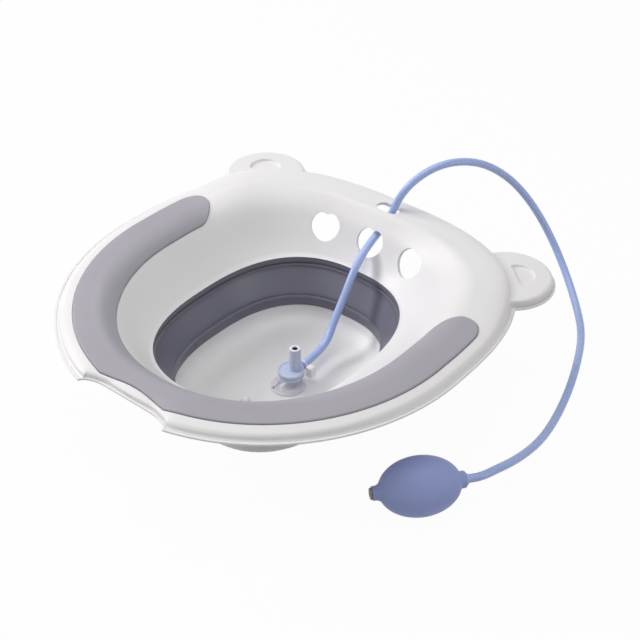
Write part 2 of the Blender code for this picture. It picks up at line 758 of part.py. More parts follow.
def fold_section(angle):
    """The folding wall: two narrow bands gripping the rigid parts and a wide band between two ridges."""
    top = fold_radius(angle, 1.0)
    foot = fold_radius(angle, 0.0)
    middle = fold_radius(angle, 0.5)
    middle_z = (UPPER_RIDGE_Z + LOWER_RIDGE_Z) / 2
    line = (
        (top + BAND_SETBACK, FOLD_TOP_Z - CLEARANCE),
        (top + BAND_SETBACK, UPPER_RIDGE_Z + RIDGE_HEIGHT / 2),
        (top - RIDGE_PROUD, UPPER_RIDGE_Z + RIDGE_HEIGHT / 4),
        (top - RIDGE_PROUD, UPPER_RIDGE_Z - RIDGE_HEIGHT / 2),
        (top, UPPER_RIDGE_Z - RIDGE_HEIGHT),
        (middle, middle_z),
        (foot + RIDGE_PROUD / 2, LOWER_RIDGE_Z + RIDGE_HEIGHT),
        (foot - RIDGE_PROUD, LOWER_RIDGE_Z + RIDGE_HEIGHT / 2),
        (foot - RIDGE_PROUD, LOWER_RIDGE_Z - RIDGE_HEIGHT / 4),
        (foot + BAND_SETBACK, LOWER_RIDGE_Z - RIDGE_HEIGHT / 2),
        (foot + BAND_SETBACK, FOLD_FOOT_Z + CLEARANCE),
        (foot + FOLD_THICKNESS, FOLD_FOOT_Z + CLEARANCE),
        (foot + FOLD_THICKNESS, LOWER_RIDGE_Z),
        (foot + COLLAR_OUT, LOWER_RIDGE_Z),
        (foot + COLLAR_OUT, LOWER_RIDGE_Z + RIDGE_HEIGHT),
        (foot + FOLD_THICKNESS, LOWER_RIDGE_Z + RIDGE_HEIGHT + FOLD_WEB),
        (middle + FOLD_WEB, middle_z),
        (top + FOLD_WEB, UPPER_RIDGE_Z - RIDGE_HEIGHT - FOLD_WEB),
        (top + COLLAR_OUT, UPPER_RIDGE_Z - RIDGE_HEIGHT),
        (top + COLLAR_OUT, UPPER_RIDGE_Z),
        (top + FOLD_THICKNESS, UPPER_RIDGE_Z),
        (top + FOLD_THICKNESS, FOLD_TOP_Z - CLEARANCE),
    )
    return place(angle, line)


def make_folding_wall(material):
    sections = [fold_section(angle) for angle in ring_angles(PLAIN_SHARES)]
    return add_object("folding_wall", loft("folding_wall", sections), material)


def bowl_section(angle):
    """The lower bowl from the middle of its floor, up its wall, over its rim and back under its foot."""
    wall = fold_radius(angle, 0.0)
    rabbet = wall + FOLD_THICKNESS + CLEARANCE
    outside = rabbet + BOWL_WALL
    depth = BOWL_WALL_TOP - FLOOR_TOP
    line = [(0, FLOOR_TOP)]
    line.extend((share * wall, FLOOR_TOP + rise * depth) for share, rise in BOWL_INSIDE_SHARES)
    lower_side, corner, outer_foot, inner_foot = (share * wall for share in BOWL_OUTSIDE_SHARES)
    line.extend(
        (
            (rabbet, BOWL_WALL_TOP),
            (rabbet, LOWER_RIDGE_Z - CLEARANCE),
            (outside, LOWER_RIDGE_Z - CLEARANCE),
            (outside, BOWL_WALL_TOP),
            ((outside + wall) / 2, BOWL_WALL_TOP / 2),
            (lower_side, BOWL_WALL_TOP / 5),
            (corner, FOOT_RECESS / 2),
            (outer_foot, 0),
            (inner_foot, 0),
            (inner_foot - FOOT_RECESS, FOOT_RECESS),
            (GATE_BOSS_RADIUS + GATE_BOSS_DRAFT, FOOT_RECESS),
            (GATE_BOSS_RADIUS, 0),
            (0, 0),
        )
    )
    return place(angle, line)


def make_lower_bowl(material):
    sections = [bowl_section(angle) for angle in ring_angles(PLAIN_SHARES)]
    bowl = add_object("lower_bowl", loft("lower_bowl", sections, close_across=False), material)
    stud_top = FLOOR_TOP + STUD_HEIGHT
    foot_z = FLOOR_TOP - FOOT_RECESS / 2
    profile = [(share * STUD_RADIUS, stud_top - drop * STUD_CROWN) for share, drop in STUD_SHARES]
    profile.extend(((STUD_RADIUS, foot_z), (0, foot_z)))
    stud = add_cutter("floor_stud", turned("floor_stud", profile), (0, -STUD_SETBACK, 0))
    add_screw(stud, SMALL_TURN_STEPS)
    join_shape(bowl, stud, "UNION")
    return bowl


def plan_point(reach, turn):
    """A point on the floor plan at a distance and a direction from the nozzle's axis."""
    angle = math.radians(turn)
    return NOZZLE_X + reach * math.cos(angle), NOZZLE_Y + reach * math.sin(angle), 0


def make_suction_cup(material):
    """A shallow cup with a stem that plugs into the nozzle and a pull tab with a hole."""
    foot = FLOOR_TOP + CLEARANCE
    crown = foot + CUP_HEIGHT
    stem_top = DISC_FOOT_HEIGHT + CUP_STEM_GRIP
    profile = [(0, stem_top), (CUP_STEM_RADIUS, stem_top), (CUP_STEM_RADIUS, crown + CUP_HEIGHT / 3)]
    profile.append((CUP_STEM_RADIUS * CUP_ROOT_SHARE, crown))
    profile.extend((CUP_RADIUS * out, foot + CUP_HEIGHT * up) for out, up in CUP_OUTSIDE_SHARES)
    profile.append((CUP_RADIUS, foot + CUP_SKIN * CUP_EDGE_SHARE))
    profile.extend(((CUP_RADIUS, foot), (CUP_RADIUS - CUP_SKIN, foot)))
    profile.extend((CUP_RADIUS * out, foot + CUP_HEIGHT * up - CUP_SKIN) for out, up in CUP_INSIDE_SHARES)
    profile.append((0, crown - CUP_SKIN * 2))
    place_at = (NOZZLE_X, NOZZLE_Y, 0)
    cup = add_object("suction_cup", turned("suction_cup", profile), material, place_at)
    add_screw(cup, TURN_STEPS)
    tab_place = plan_point(TAB_OFFSET, TAB_TURN)
    tab = add_cylinder_cutter("cup_tab", TAB_RADIUS, foot, foot + CUP_SKIN, TURN_STEPS, tab_place)
    inner = CUP_RADIUS - CUP_SKIN * CUP_ROOT_SHARE
    core = add_cylinder_cutter("cup_core", inner, foot - OVERRUN, foot + OVERRUN, TURN_STEPS, place_at)
    hole_place = plan_point(TAB_HOLE_REACH, TAB_HOLE_TURN)
    hole = add_cylinder_cutter("tab_hole", TAB_HOLE_RADIUS, foot - OVERRUN, foot + OVERRUN, 8, hole_place)
    join_shape(tab, core, "DIFFERENCE")
    join_shape(cup, tab, "UNION")
    join_shape(cup, hole, "DIFFERENCE")
    return cup


def make_nozzle_body(material):
    """A thick disc with an upright spout and a side barb, drilled through from one to the other."""
    groove_z = DISC_FOOT_HEIGHT + DISC_THICKNESS * GROOVE_SHARE
    socket = CUP_STEM_RADIUS + CLEARANCE
    socket_top = DISC_FOOT_HEIGHT + CUP_STEM_GRIP + CLEARANCE
    profile = (
        (0, DISC_TOP_Z),
        (DISC_RADIUS - DISC_GROOVE, DISC_TOP_Z),
        (DISC_RADIUS, DISC_TOP_Z - DISC_GROOVE),
        (DISC_RADIUS, groove_z + DISC_GROOVE),
        (DISC_RADIUS - DISC_GROOVE, groove_z),
        (DISC_RADIUS - DISC_GROOVE, DISC_FOOT_HEIGHT + DISC_GROOVE),
        (DISC_RADIUS - DISC_GROOVE * 2, DISC_FOOT_HEIGHT),
        (socket, DISC_FOOT_HEIGHT),
        (socket, socket_top),
        (0, socket_top),
    )
    body = add_object("nozzle_body", turned("nozzle_body", profile), material, (NOZZLE_X, NOZZLE_Y, 0))
    add_screw(body, TURN_STEPS)
    spout_x = NOZZLE_X + SPOUT_OFFSET_X
    spout_y = NOZZLE_Y + SPOUT_OFFSET_Y
    spout_top = DISC_TOP_Z + SPOUT_LENGTH
    spout_place = (spout_x, spout_y, 0)
    spout_foot = DISC_TOP_Z - DISC_GROOVE
    spout = add_cylinder_cutter("spout", SPOUT_RADIUS, spout_foot, spout_top, SMALL_TURN_STEPS, spout_place)
    along_y = (-math.pi / 2, 0, 0)
    barb_place = (spout_x, spout_y, BARB_HEIGHT)
    barb_end = BARB_REACH - SPOUT_OFFSET_Y
    barb = add_cylinder_cutter("barb", BARB_RADIUS, BARB_RADIUS, barb_end, 14, barb_place, along_y)
    bore_top = spout_top + OVERRUN
    bore = add_cylinder_cutter("spout_bore", SPOUT_BORE, BARB_HEIGHT, bore_top, 12, spout_place)
    channel = add_cylinder_cutter("barb_bore", BARB_BORE, 0, BARB_REACH + OVERRUN, 8, barb_place, along_y)
    join_shape(body, spout, "UNION")
    join_shape(body, barb, "UNION")
    join_shape(body, bore, "DIFFERENCE")
    join_shape(body, channel, "DIFFERENCE")
    return body


def hose_end_point():
    """Where the hose meets the bulb's outlet valve, and the direction that it leaves in."""
    turn = math.radians(BULB_TURN)
    reach = OUTLET_REACH + CLEARANCE + VALVE_FLANGE + CLEARANCE
    along = Vector((math.cos(turn), math.sin(turn), 0))
    return Vector((BULB_X, BULB_Y, BULB_RADIUS)) + reach * along, along


def hose_points():
    """A natural cubic curve through the route, read at even steps, with straight ends."""
    start = Vector((NOZZLE_X + SPOUT_OFFSET_X, NOZZLE_Y + BARB_REACH + CLEARANCE, BARB_HEIGHT))
    end, along = hose_end_point()
    straight = 2 * HOSE_RADIUS
    knots = [start, start + Vector((0, straight, 0))]
    knots.extend(Vector(point) for point in HOSE_ROUTE)
    knots.extend((end + along * straight, end))
    knots = np.array([tuple(knot) for knot in knots])
    spans = np.linalg.norm(np.diff(knots, axis=0), axis=1)
    place_along = np.concatenate(((0,), np.cumsum(spans)))
    count = len(knots)
    system = np.zeros((count, count))
    bend = np.zeros((count, 3))
    system[0, 0] = 1
    system[-1, -1] = 1
    for index in range(1, count - 1):
        before = spans[index - 1]
        after = spans[index]
        system[index, index - 1: index + 2] = (before, 2 * (before + after), after)
        slope = (knots[index + 1] - knots[index]) / after - (knots[index] - knots[index - 1]) / before
        bend[index] = 6 * slope
    bend = np.linalg.solve(system, bend)
    steps = round(place_along[-2] / HOSE_POINT_STEP)
    points = [knots[0]]
    for place_now in np.linspace(place_along[1], place_along[-2], steps):
        index = min(max(int(np.searchsorted(place_along, place_now)) - 1, 0), count - 2)
        span = spans[index]
        ahead = place_along[index + 1] - place_now
        behind = place_now - place_along[index]
        point = (bend[index] * ahead ** 3 + bend[index + 1] * behind ** 3) / (6 * span)
        point += (knots[index] / span - bend[index] * span / 6) * ahead
        point += (knots[index + 1] / span - bend[index + 1] * span / 6) * behind
        points.append(point)
    points.append(knots[-1])
    return points


def make_hose(material):
    curve = bpy.data.curves.new("hose", "CURVE")
    curve.dimensions = "3D"
    curve.bevel_depth = HOSE_RADIUS
    curve.bevel_resolution = HOSE_RESOLUTION
    curve.use_fill_caps = True
    points = hose_points()
    spline = curve.splines.new("POLY")
    spline.points.add(len(points) - 1)
    for point, (x, y, z) in zip(spline.points, points):
        point.co = (x, y, z, 1)
    return add_object("hose", curve, material)


def make_cable_tie(material):
    """A band round the hose beside the barb, with its square head below and to the right."""
    inner = HOSE_RADIUS + CLEARANCE
    outer = inner + TIE_BAND
    half = TIE_WIDTH / 2
    profile = ((outer, half), (outer, -half), (inner, -half), (inner, half))
    tie_x = NOZZLE_X + SPOUT_OFFSET_X
    tie_y = NOZZLE_Y + BARB_REACH + CLEARANCE + TIE_PLACE
    along_y = (-math.pi / 2, 0, 0)
    tie = add_object("cable_tie", turned("cable_tie", profile), material, (tie_x, tie_y, BARB_HEIGHT), along_y)
    add_screw(tie, SMALL_TURN_STEPS)
    head = rounded_box("tie_head", (TIE_HEAD_WIDTH, TIE_HEAD_DEPTH, TIE_HEAD_HEIGHT), TIE_ROUNDING)
    head_place = (tie_x + TIE_HEAD_SIDE, tie_y + TIE_HEAD_BACK, BARB_HEIGHT - TIE_HEAD_DROP)
    join_shape(tie, add_cutter("tie_head", head, head_place), "UNION")
    return tie


def rounded_box(name, size, rounding):
    builder = bmesh.new()
    bmesh.ops.create_cube(builder, size=1)
    bmesh.ops.scale(builder, vec=size, verts=builder.verts)
    bmesh.ops.bevel(builder, geom=builder.edges, offset=rounding, segments=2, profile=0.5, affect="EDGES")
    return finish_mesh(name, builder)


def oval_profile(half_length, radius, turns):
    angles = [math.radians(turn) for turn in turns]
    return [(radius * math.sin(angle), half_length * math.cos(angle)) for angle in angles]


def bulb_profile():
    """The hollow bulb with its outlet neck at the top of the profile and its inlet neck at the bottom."""
    collar_back = BULB_HALF_LENGTH + NECK_EDGE
    outer = [
        (OUTLET_NECK_RADIUS - NECK_EDGE, OUTLET_REACH),
        (OUTLET_NECK_RADIUS, OUTLET_REACH - NECK_EDGE),
        (OUTLET_NECK_RADIUS, collar_back),
        (OUTLET_NECK_RADIUS - NECK_EDGE / 2, BULB_HALF_LENGTH * NECK_ROOT_SHARE),
    ]
    outer.extend(oval_profile(BULB_HALF_LENGTH, BULB_RADIUS, BULB_OUTSIDE_TURNS))
    outer.extend(
        (
            (INLET_NECK_RADIUS + NECK_EDGE, -BULB_HALF_LENGTH),
            (INLET_NECK_RADIUS, -BULB_HALF_LENGTH - NECK_EDGE * 2),
            (INLET_NECK_RADIUS, -INLET_REACH + NECK_EDGE),
            (INLET_NECK_RADIUS - NECK_EDGE / 2, -INLET_REACH),
        )
    )
    inner_half = BULB_HALF_LENGTH - BULB_WALL
    inner_radius = BULB_RADIUS - BULB_WALL
    bore_end = inner_half * NECK_BORE_SHARE
    inner = [(NECK_BORE, -INLET_REACH), (NECK_BORE, -bore_end)]
    inner.extend(oval_profile(inner_half, inner_radius, BULB_INSIDE_TURNS))
    inner.extend(((NECK_BORE, bore_end), (NECK_BORE, OUTLET_REACH)))
    return outer + inner


def valve_profile(flange_outside):
    """A valve body whose seat faces down and whose chamber holds a ball under a turned-in lip.

    Height 0 is the valve's lower end. The flange is at the top or at the bottom.
    """
    radius = NECK_BORE - CLEARANCE
    seat_foot = VALVE_FLANGE + VALVE_PORT
    chamber_foot = seat_foot + VALVE_SEAT_DEPTH
    lip_foot = VALVE_LENGTH - VALVE_LIP_LENGTH
    if flange_outside:
        outer = [(radius, VALVE_LENGTH), (radius, VALVE_FLANGE)]
        outer.extend(((VALVE_FLANGE_RADIUS, VALVE_FLANGE), (VALVE_FLANGE_RADIUS, 0)))
    else:
        shoulder = VALVE_LENGTH - VALVE_FLANGE
        outer = [(VALVE_FLANGE_RADIUS, VALVE_LENGTH), (VALVE_FLANGE_RADIUS, shoulder)]
        outer.extend(((radius, shoulder), (radius, 0)))
    inner = [
        (VALVE_PORT, 0),
        (VALVE_PORT, seat_foot),
        (VALVE_CHAMBER, chamber_foot),
        (VALVE_CHAMBER, lip_foot),
        (VALVE_LIP, lip_foot),
        (VALVE_LIP, VALVE_LENGTH),
    ]
    return outer + inner


def ball_height():
    """Height of the ball's middle above the valve's lower end when it hangs just over its seat."""
    seat_foot = VALVE_FLANGE + VALVE_PORT
    slope = math.atan2(VALVE_CHAMBER - VALVE_PORT, VALVE_SEAT_DEPTH)
    reach = VALVE_BALL_RADIUS + CLEARANCE - VALVE_PORT * math.cos(slope)
    return seat_foot + reach / math.sin(slope)


def ball_mesh(name):
    builder = bmesh.new()
    radius = VALVE_BALL_RADIUS
    bmesh.ops.create_uvsphere(builder, u_segments=BALL_SEGMENTS, v_segments=BALL_RINGS, radius=radius)
    return finish_mesh(name, builder)


def make_bulb(rubber, inlet_material, outlet_material, ball_material):
    carrier = bpy.data.objects.new("bulb_axis", None)
    carrier.location = (BULB_X, BULB_Y, BULB_RADIUS)
    carrier.rotation_euler = (0, math.pi / 2, math.radians(BULB_TURN))
    collection.objects.link(carrier)
    bulb = add_object("squeeze_bulb", turned("squeeze_bulb", bulb_profile()), rubber, parent=carrier)
    add_screw(bulb, TURN_STEPS)
    inlet_z = -INLET_REACH - CLEARANCE - VALVE_FLANGE
    outlet_z = OUTLET_REACH + CLEARANCE + VALVE_FLANGE - VALVE_LENGTH
    valves = (
        ("inlet_valve", inlet_z, True, inlet_material),
        ("outlet_valve", outlet_z, False, outlet_material),
    )
    for name, foot_z, outside, material in valves:
        mesh = turned(name + "_body", valve_profile(outside))
        body = add_object(name + "_body", mesh, material, (0, 0, foot_z), parent=carrier)
        add_screw(body, SMALL_TURN_STEPS)
        ball_place = (0, 0, foot_z + ball_height())
        add_object(name + "_ball", ball_mesh(name + "_ball"), ball_material, ball_place, parent=carrier)
    return bulb


def build():
    global collection, cutters
    clear_scene()
    collection = bpy.data.collections.new("foldable_bathing_basin")
    cutters = bpy.data.collections.new("cutters")
    bpy.context.scene.collection.children.link(collection)
    bpy.context.scene.collection.children.link(cutters)
    white = make_material("white polypropylene", (0.93, 0.93, 0.93), 0.32)
    pad_grey = make_material("seat pad elastomer", (0.67, 0.66, 0.70), 0.55)
    fold_grey = make_material("folding wall elastomer", (0.47, 0.47, 0.53), 0.5)
    clear_vinyl = make_material("cup vinyl", (0.82, 0.81, 0.87), 0.25, alpha=0.7)
    blue = make_material("nozzle plastic", (0.66, 0.72, 0.86), 0.4)
    hose_blue = make_material("hose elastomer", (0.58, 0.68, 0.88), 0.4)
    bulb_blue = make_material("bulb rubber", (0.53, 0.58, 0.78), 0.6)
    nylon = make_material("tie nylon", (0.94, 0.94, 0.94), 0.4)
    valve_grey = make_material("valve plastic", (0.52, 0.53, 0.47), 0.5)
    steel = make_material("valve ball steel", (0.75, 0.75, 0.77), 0.2, metallic=1.0)
    make_upper_shell(white)
    make_seat_pad(pad_grey)
    make_folding_wall(fold_grey)
    make_lower_bowl(white)
    make_suction_cup(clear_vinyl)
    make_nozzle_body(blue)
    make_cable_tie(nylon)
    make_hose(hose_blue)
    make_bulb(bulb_blue, valve_grey, blue, steel)


build()
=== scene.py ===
import math

import bmesh
import bpy
import numpy as np
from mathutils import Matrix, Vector


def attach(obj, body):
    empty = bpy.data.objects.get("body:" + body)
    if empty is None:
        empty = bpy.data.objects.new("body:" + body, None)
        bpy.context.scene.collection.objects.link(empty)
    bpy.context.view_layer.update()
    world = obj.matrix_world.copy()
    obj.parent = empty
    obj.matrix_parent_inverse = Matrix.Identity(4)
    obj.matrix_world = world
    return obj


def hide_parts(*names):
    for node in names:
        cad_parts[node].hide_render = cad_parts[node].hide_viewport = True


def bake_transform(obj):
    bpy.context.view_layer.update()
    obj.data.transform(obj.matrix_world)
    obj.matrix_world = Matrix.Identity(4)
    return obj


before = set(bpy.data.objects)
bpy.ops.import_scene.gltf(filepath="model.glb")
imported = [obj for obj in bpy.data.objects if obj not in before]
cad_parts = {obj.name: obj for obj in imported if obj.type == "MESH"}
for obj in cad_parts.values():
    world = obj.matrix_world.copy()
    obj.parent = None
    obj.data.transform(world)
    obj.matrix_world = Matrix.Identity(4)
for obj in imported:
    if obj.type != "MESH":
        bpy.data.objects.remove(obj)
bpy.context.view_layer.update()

# Lengths are in metres and angles in degrees. These sizes repeat those of the solids, apart from
# STUD_HEIGHT, LINE_DEPTH, LINE_WIDTH, EAR_RECESS_DEPTH, EAR_RECESS_DRAFT, TIE_HEAD_HEIGHT, the two
# ridges and the last rows of RIM_SHARES, which were fitted closer to the photo here.
CLEARANCE = 0.0003
OVERRUN = 0.004

RIM_HALF_WIDTH = 0.1812
RIM_FRONT_REACH = 0.1870
RIM_REAR_REACH = 0.180
RIM_FRONT_POWER = 2.0
RIM_REAR_POWER = 2.8
FLANGE_WIDTH = 0.038
RIM_RISE = 0.0072
REAR_RISE = 0.0074
LIP_THICKNESS = 0.0018
LIP_UNDERSIDE_WIDTH = 0.0063
LIP_ROUNDING = 0.0005
LINE_DEPTH = 0.0008
LINE_WIDTH = 0.0008
LINE_DRAFT_SHARE = 0.15
SHELL_WALL = 0.0028
REAR_FROM_SHARE = 0.30
REAR_TO_SHARE = 0.66

NOTCH_DEPTH = 0.0144
NOTCH_HALF_FLAT = 0.027
NOTCH_HALF_MOUTH = 0.0456
NOTCH_DIP = 0.0014
NOTCH_SOFT_HALF_FLAT = 0.021
NOTCH_SOFT_HALF_MOUTH = 0.054
NOTCH_SOFT_SHARE = 0.25

FOLD_TOP_HALF_WIDTH = 0.088
FOLD_TOP_HALF_LENGTH = 0.109
FOLD_FOOT_HALF_WIDTH = 0.0745
FOLD_FOOT_HALF_LENGTH = 0.0948
FOLD_POWER = 2.5
FOLD_THICKNESS = 0.0020
FOLD_WEB = 0.0015
BAND_SETBACK = 0.0004
RIDGE_PROUD = 0.0013
RIDGE_HEIGHT = 0.0016
COLLAR_WALL = 0.0023
# How far in and up each ridge's points lie, in shares of RIDGE_PROUD and RIDGE_HEIGHT
BAND_SHARE = BAND_SETBACK / RIDGE_PROUD
UPPER_RIDGE_SHARES = (
    (-BAND_SHARE, 1.20),
    (-3.6 * BAND_SHARE, 1.05),
    (-3.6 * BAND_SHARE, 0.62),
    (1.15, 0.25),
    (1.30, -0.05),
    (1.20, -0.35),
    (0.60, -0.75),
    (0.00, -1.00),
)
LOWER_RIDGE_SHARES = (
    (-0.70, 1.50),
    (-0.90, 1.15),
    (0.95, 0.85),
    (1.10, 0.60),
    (1.00, -0.10),
    (0.75, -0.35),
    (-1.5 * BAND_SHARE, -0.35),
    (-BAND_SHARE, -0.60),
)

FLOOR_TOP = 0.0042
BOWL_WALL_TOP = 0.020
LOWER_BAND = 0.0095
MAIN_BAND = 0.0265
UPPER_BAND = 0.0075
LIP_ABOVE_FOLD = 0.0315

BOWL_WALL = 0.0024
FOOT_RECESS = 0.0018
GATE_BOSS_RADIUS = 0.016
GATE_BOSS_DRAFT = 0.0008
STUD_RADIUS = 0.0044
STUD_HEIGHT = 0.0106
STUD_CROWN = 0.0020
STUD_SETBACK = 0.044

PAD_PROUD = 0.0011
PAD_EDGE_PROUD = 0.0001
PAD_EDGE_ROUNDING = 0.0015
PAD_TOP_SHARE = 0.9
PAD_DEPTH = 0.0012
PAD_INNER_SHARE = 0.70
PAD_FRONT_MARGIN = 0.0156
PAD_SIDE_MARGIN = 0.0162
PAD_END_ANGLE = 24.5
PAD_NOTCH_DEPTH = 0.0080
PAD_NOTCH_HALF_MOUTH = 0.0372
PAD_GAP = 0.0006

EAR_RADIUS = 0.0398
EAR_PLACE_X = 0.1370
EAR_PLACE_Y = 0.1395
EAR_RISE = 0.0085
EAR_WALL = 0.0024
EAR_EDGE = 0.0030
EAR_LIP = 0.0022
EAR_LIFT = 0.0002
EAR_RECESS_RADIUS = 0.0170
EAR_RECESS_DEPTH = 0.0020
EAR_RECESS_OFFSET = 0.0055
EAR_RECESS_DRAFT = 0.0003
EAR_RECESS_SHARES = ((-1.0, 1.0), (-0.55, 0.88), (0.1, 0.25))
EAR_RECESS_TOP_SHARE = 0.8
EAR_ROUNDING = 0.0013
EAR_TURN = 48.0

HEART_WIDTH = 0.0280
HEART_HEIGHT = 0.0262
HEART_SPREAD = 21.6
HEART_MIDDLE_HEIGHT = 0.0857
HEART_LEAN = 28.0
HEART_DIP_SHARE = 0.20
HEART_DIP_SPREAD = 17.0
HEART_TIP_SHARE = 0.13
HEART_TIP_SPREAD = 36.0
HEART_POINTS = 72
HEART_TOOL_LENGTH = FLANGE_WIDTH / 2
SLOT_WIDTH = 0.0235
SLOT_LENGTH = 0.0135
SLOT_SETBACK = 0.0280

NOZZLE_X = 0.0115
NOZZLE_Y = 0.0022
CUP_RADIUS = 0.0133
CUP_HEIGHT = 0.0060
CUP_SKIN = 0.0010
CUP_HIGH_SHARE = 0.66
CUP_LOW_SHARE = 0.36
CUP_STEM_RADIUS = 0.0030
CUP_STEM_GRIP = 0.0016
TAB_RADIUS = 0.0150
TAB_ROUNDING = 0.0004
TAB_OFFSET = 0.0030
TAB_TURN = 220.0
TAB_HOLE_RADIUS = 0.0008
TAB_HOLE_REACH = 0.0160
TAB_HOLE_TURN = 235.0
TAB_BOSS_RADIUS = 0.0017
TAB_BOSS_HEIGHT = 0.0007
TAB_BOSS_ROUNDING = 0.0003
RIB_START_REACH = 0.0146
RIB_START_TURN = 230.0
RIB_END_REACH = 0.0106
RIB_END_TURN = 207.0
RIB_WIDTH = 0.0008
RIB_HEIGHT = 0.0010
RIB_ROUNDING = 0.0003
RIB_HIGHLIGHT_REACH = 0.00075
DISC_RADIUS = 0.01175
DISC_FOOT_HEIGHT = 0.0161
DISC_THICKNESS = 0.0064
DISC_GROOVE = 0.0005
DISC_GROOVE_DEPTH = 0.0013
DISC_RING_WIDTH = 0.0014
DISC_DISH_DEPTH = 0.0007
SPOUT_OFFSET_X = 0.0013
SPOUT_OFFSET_Y = 0.0040
SPOUT_RADIUS = 0.0053
SPOUT_LENGTH = 0.0215
SPOUT_DRAFT = 0.0004
SPOUT_BORE = 0.0024
SPOUT_FLARE = 0.0005
BARB_HEIGHT = 0.0190
BARB_RADIUS = 0.0029
BARB_REACH = 0.0126
BARB_ROUNDING = 0.0004
BARB_BORE = 0.0011

HOSE_RADIUS = 0.0035
HOSE_POINT_STEP = 0.0060
TIE_WIDTH = 0.0026
TIE_HALF_SHARE = 0.32
TIE_BAND = 0.0009
TIE_BAND_SHARE = 0.6
TIE_PLACE = 0.0022
TIE_HEAD_WIDTH = 0.0068
TIE_HEAD_DEPTH = 0.0068
TIE_HEAD_HEIGHT = 0.0104
TIE_HEAD_SIDE = 0.0075
TIE_HEAD_BACK = 0.0008
TIE_HEAD_DROP = 0.0040
TIE_HEAD_ROUNDING = 0.0012

BULB_X = 0.1835
BULB_Y = -0.0451
BULB_TURN = 52.0
BULB_RADIUS = 0.0240
BULB_HALF_LENGTH = 0.0335
BULB_WALL = 0.0022
BULB_OUTSIDE_TURNS = (20.0, 160.5)
BULB_OUTSIDE_POINTS = 44
BULB_INSIDE_TURNS = (160.0, 20.0)
BULB_INSIDE_POINTS = 24
BULB_BORE_SHARE = 0.975
OUTLET_REACH = 0.0370
INLET_REACH = 0.0385
NECK_BORE = 0.0037
INLET_NECK_RADIUS = 0.0057
OUTLET_NECK_RADIUS = 0.0069
NECK_EDGE = 0.0009
VALVE_LENGTH = 0.0090
VALVE_FLANGE_RADIUS = 0.0047
VALVE_FLANGE = 0.0012
VALVE_PORT = 0.0013
VALVE_CHAMBER = 0.0026
VALVE_LIP = 0.0015
VALVE_LIP_LENGTH = 0.0014
VALVE_SEAT_DEPTH = 0.0015

FOLD_FOOT_Z = BOWL_WALL_TOP
LOWER_RIDGE_Z = FOLD_FOOT_Z + LOWER_BAND
UPPER_RIDGE_Z = LOWER_RIDGE_Z + MAIN_BAND
FOLD_TOP_Z = UPPER_RIDGE_Z + UPPER_BAND
LIP_Z = FOLD_TOP_Z + LIP_ABOVE_FOLD
CREST_Z = LIP_Z + RIM_RISE
DISC_TOP_Z = DISC_FOOT_HEIGHT + DISC_THICKNESS
COLLAR_OUT = FOLD_THICKNESS + CLEARANCE + COLLAR_WALL

WALL_SHARES = (
    (0.00, 0.000, 0.000),
    (0.06, 0.020, 0.022),
    (0.15, 0.095, 0.105),
    (0.31, 0.265, 0.285),
    (0.48, 0.485, 0.515),
    (0.65, 0.712, 0.757),
    (0.82, 0.865, 0.938),
)
RIM_SHARES = (
    (1.00, 1.00, 0.00, 1.00, 0.00),
    (0.78, 1.03, 0.06, 1.00, 0.10),
    (0.56, 1.03, 0.21, 1.00, 0.50),
    (0.455, 1.00, 0.34, 0.99, 0.90),
    (0.30, 0.91, 0.56, 0.95, 1.00),
    (0.200, 0.79, 0.68, 0.85, 0.70),
    (0.136, 0.55, 0.80, 0.60, 0.30),
    (0.106, 0.29, 0.88, 0.30, 0.00),
    (0.076, 0.17, 0.92, 0.00, 0.00),
    (0.00, 0.25, 1.00, 0.00, 0.00),
)
WALL_UNDER_STATIONS = (2, 3, 4, 5, 6)
RIM_UNDER_STATIONS = (0, 2, 4)
EAR_CORE_STATION = 6
SKIRT_STATION = 7
BOWL_INSIDE_SHARES = (
    (0.35, 0.0), (0.62, 0.025), (0.79, 0.12), (0.90, 0.32), (0.97, 0.63), (1.0, 1.0),
)
FLOOR_MIDDLE_SHARE = 0.12
BOWL_OUTSIDE_SHARES = (0.985, 0.94, 0.865, 0.80)
HOSE_ROUTE = (
    (0.0116, 0.0330, 0.0188),
    (0.0104, 0.0435, 0.0193),
    (0.0091, 0.0550, 0.0234),
    (0.0073, 0.0665, 0.0355),
    (0.0060, 0.0810, 0.0525),
    (0.0047, 0.0945, 0.0688),
    (0.0028, 0.1100, 0.0806),
    (0.0010, 0.1270, 0.0876),
    (0.0012, 0.1390, 0.0932),
    (0.0034, 0.1478, 0.1012),
    (0.0052, 0.1520, 0.1095),
    (0.0090, 0.1560, 0.1222),
    (0.0155, 0.1628, 0.1355),
    (0.0279, 0.1825, 0.1484),
    (0.0408, 0.2086, 0.1476),
    (0.0529, 0.2388, 0.1317),
    (0.0669, 0.2631, 0.1061),
    (0.0839, 0.2765, 0.0769),
    (0.1005, 0.2813, 0.0498),
    (0.1217, 0.2736, 0.0278),
    (0.1451, 0.2556, 0.0127),
    (0.1647, 0.2333, 0.0058),
    (0.1833, 0.1981, 0.0038),
    (0.1998, 0.1551, 0.0038),
    (0.2135, 0.1035, 0.0040),
    (0.2179, 0.0771, 0.0068),
    (0.2198, 0.0500, 0.0122),
    (0.2189, 0.0240, 0.0184),
    (0.2166, 0.0080, 0.0218),
)

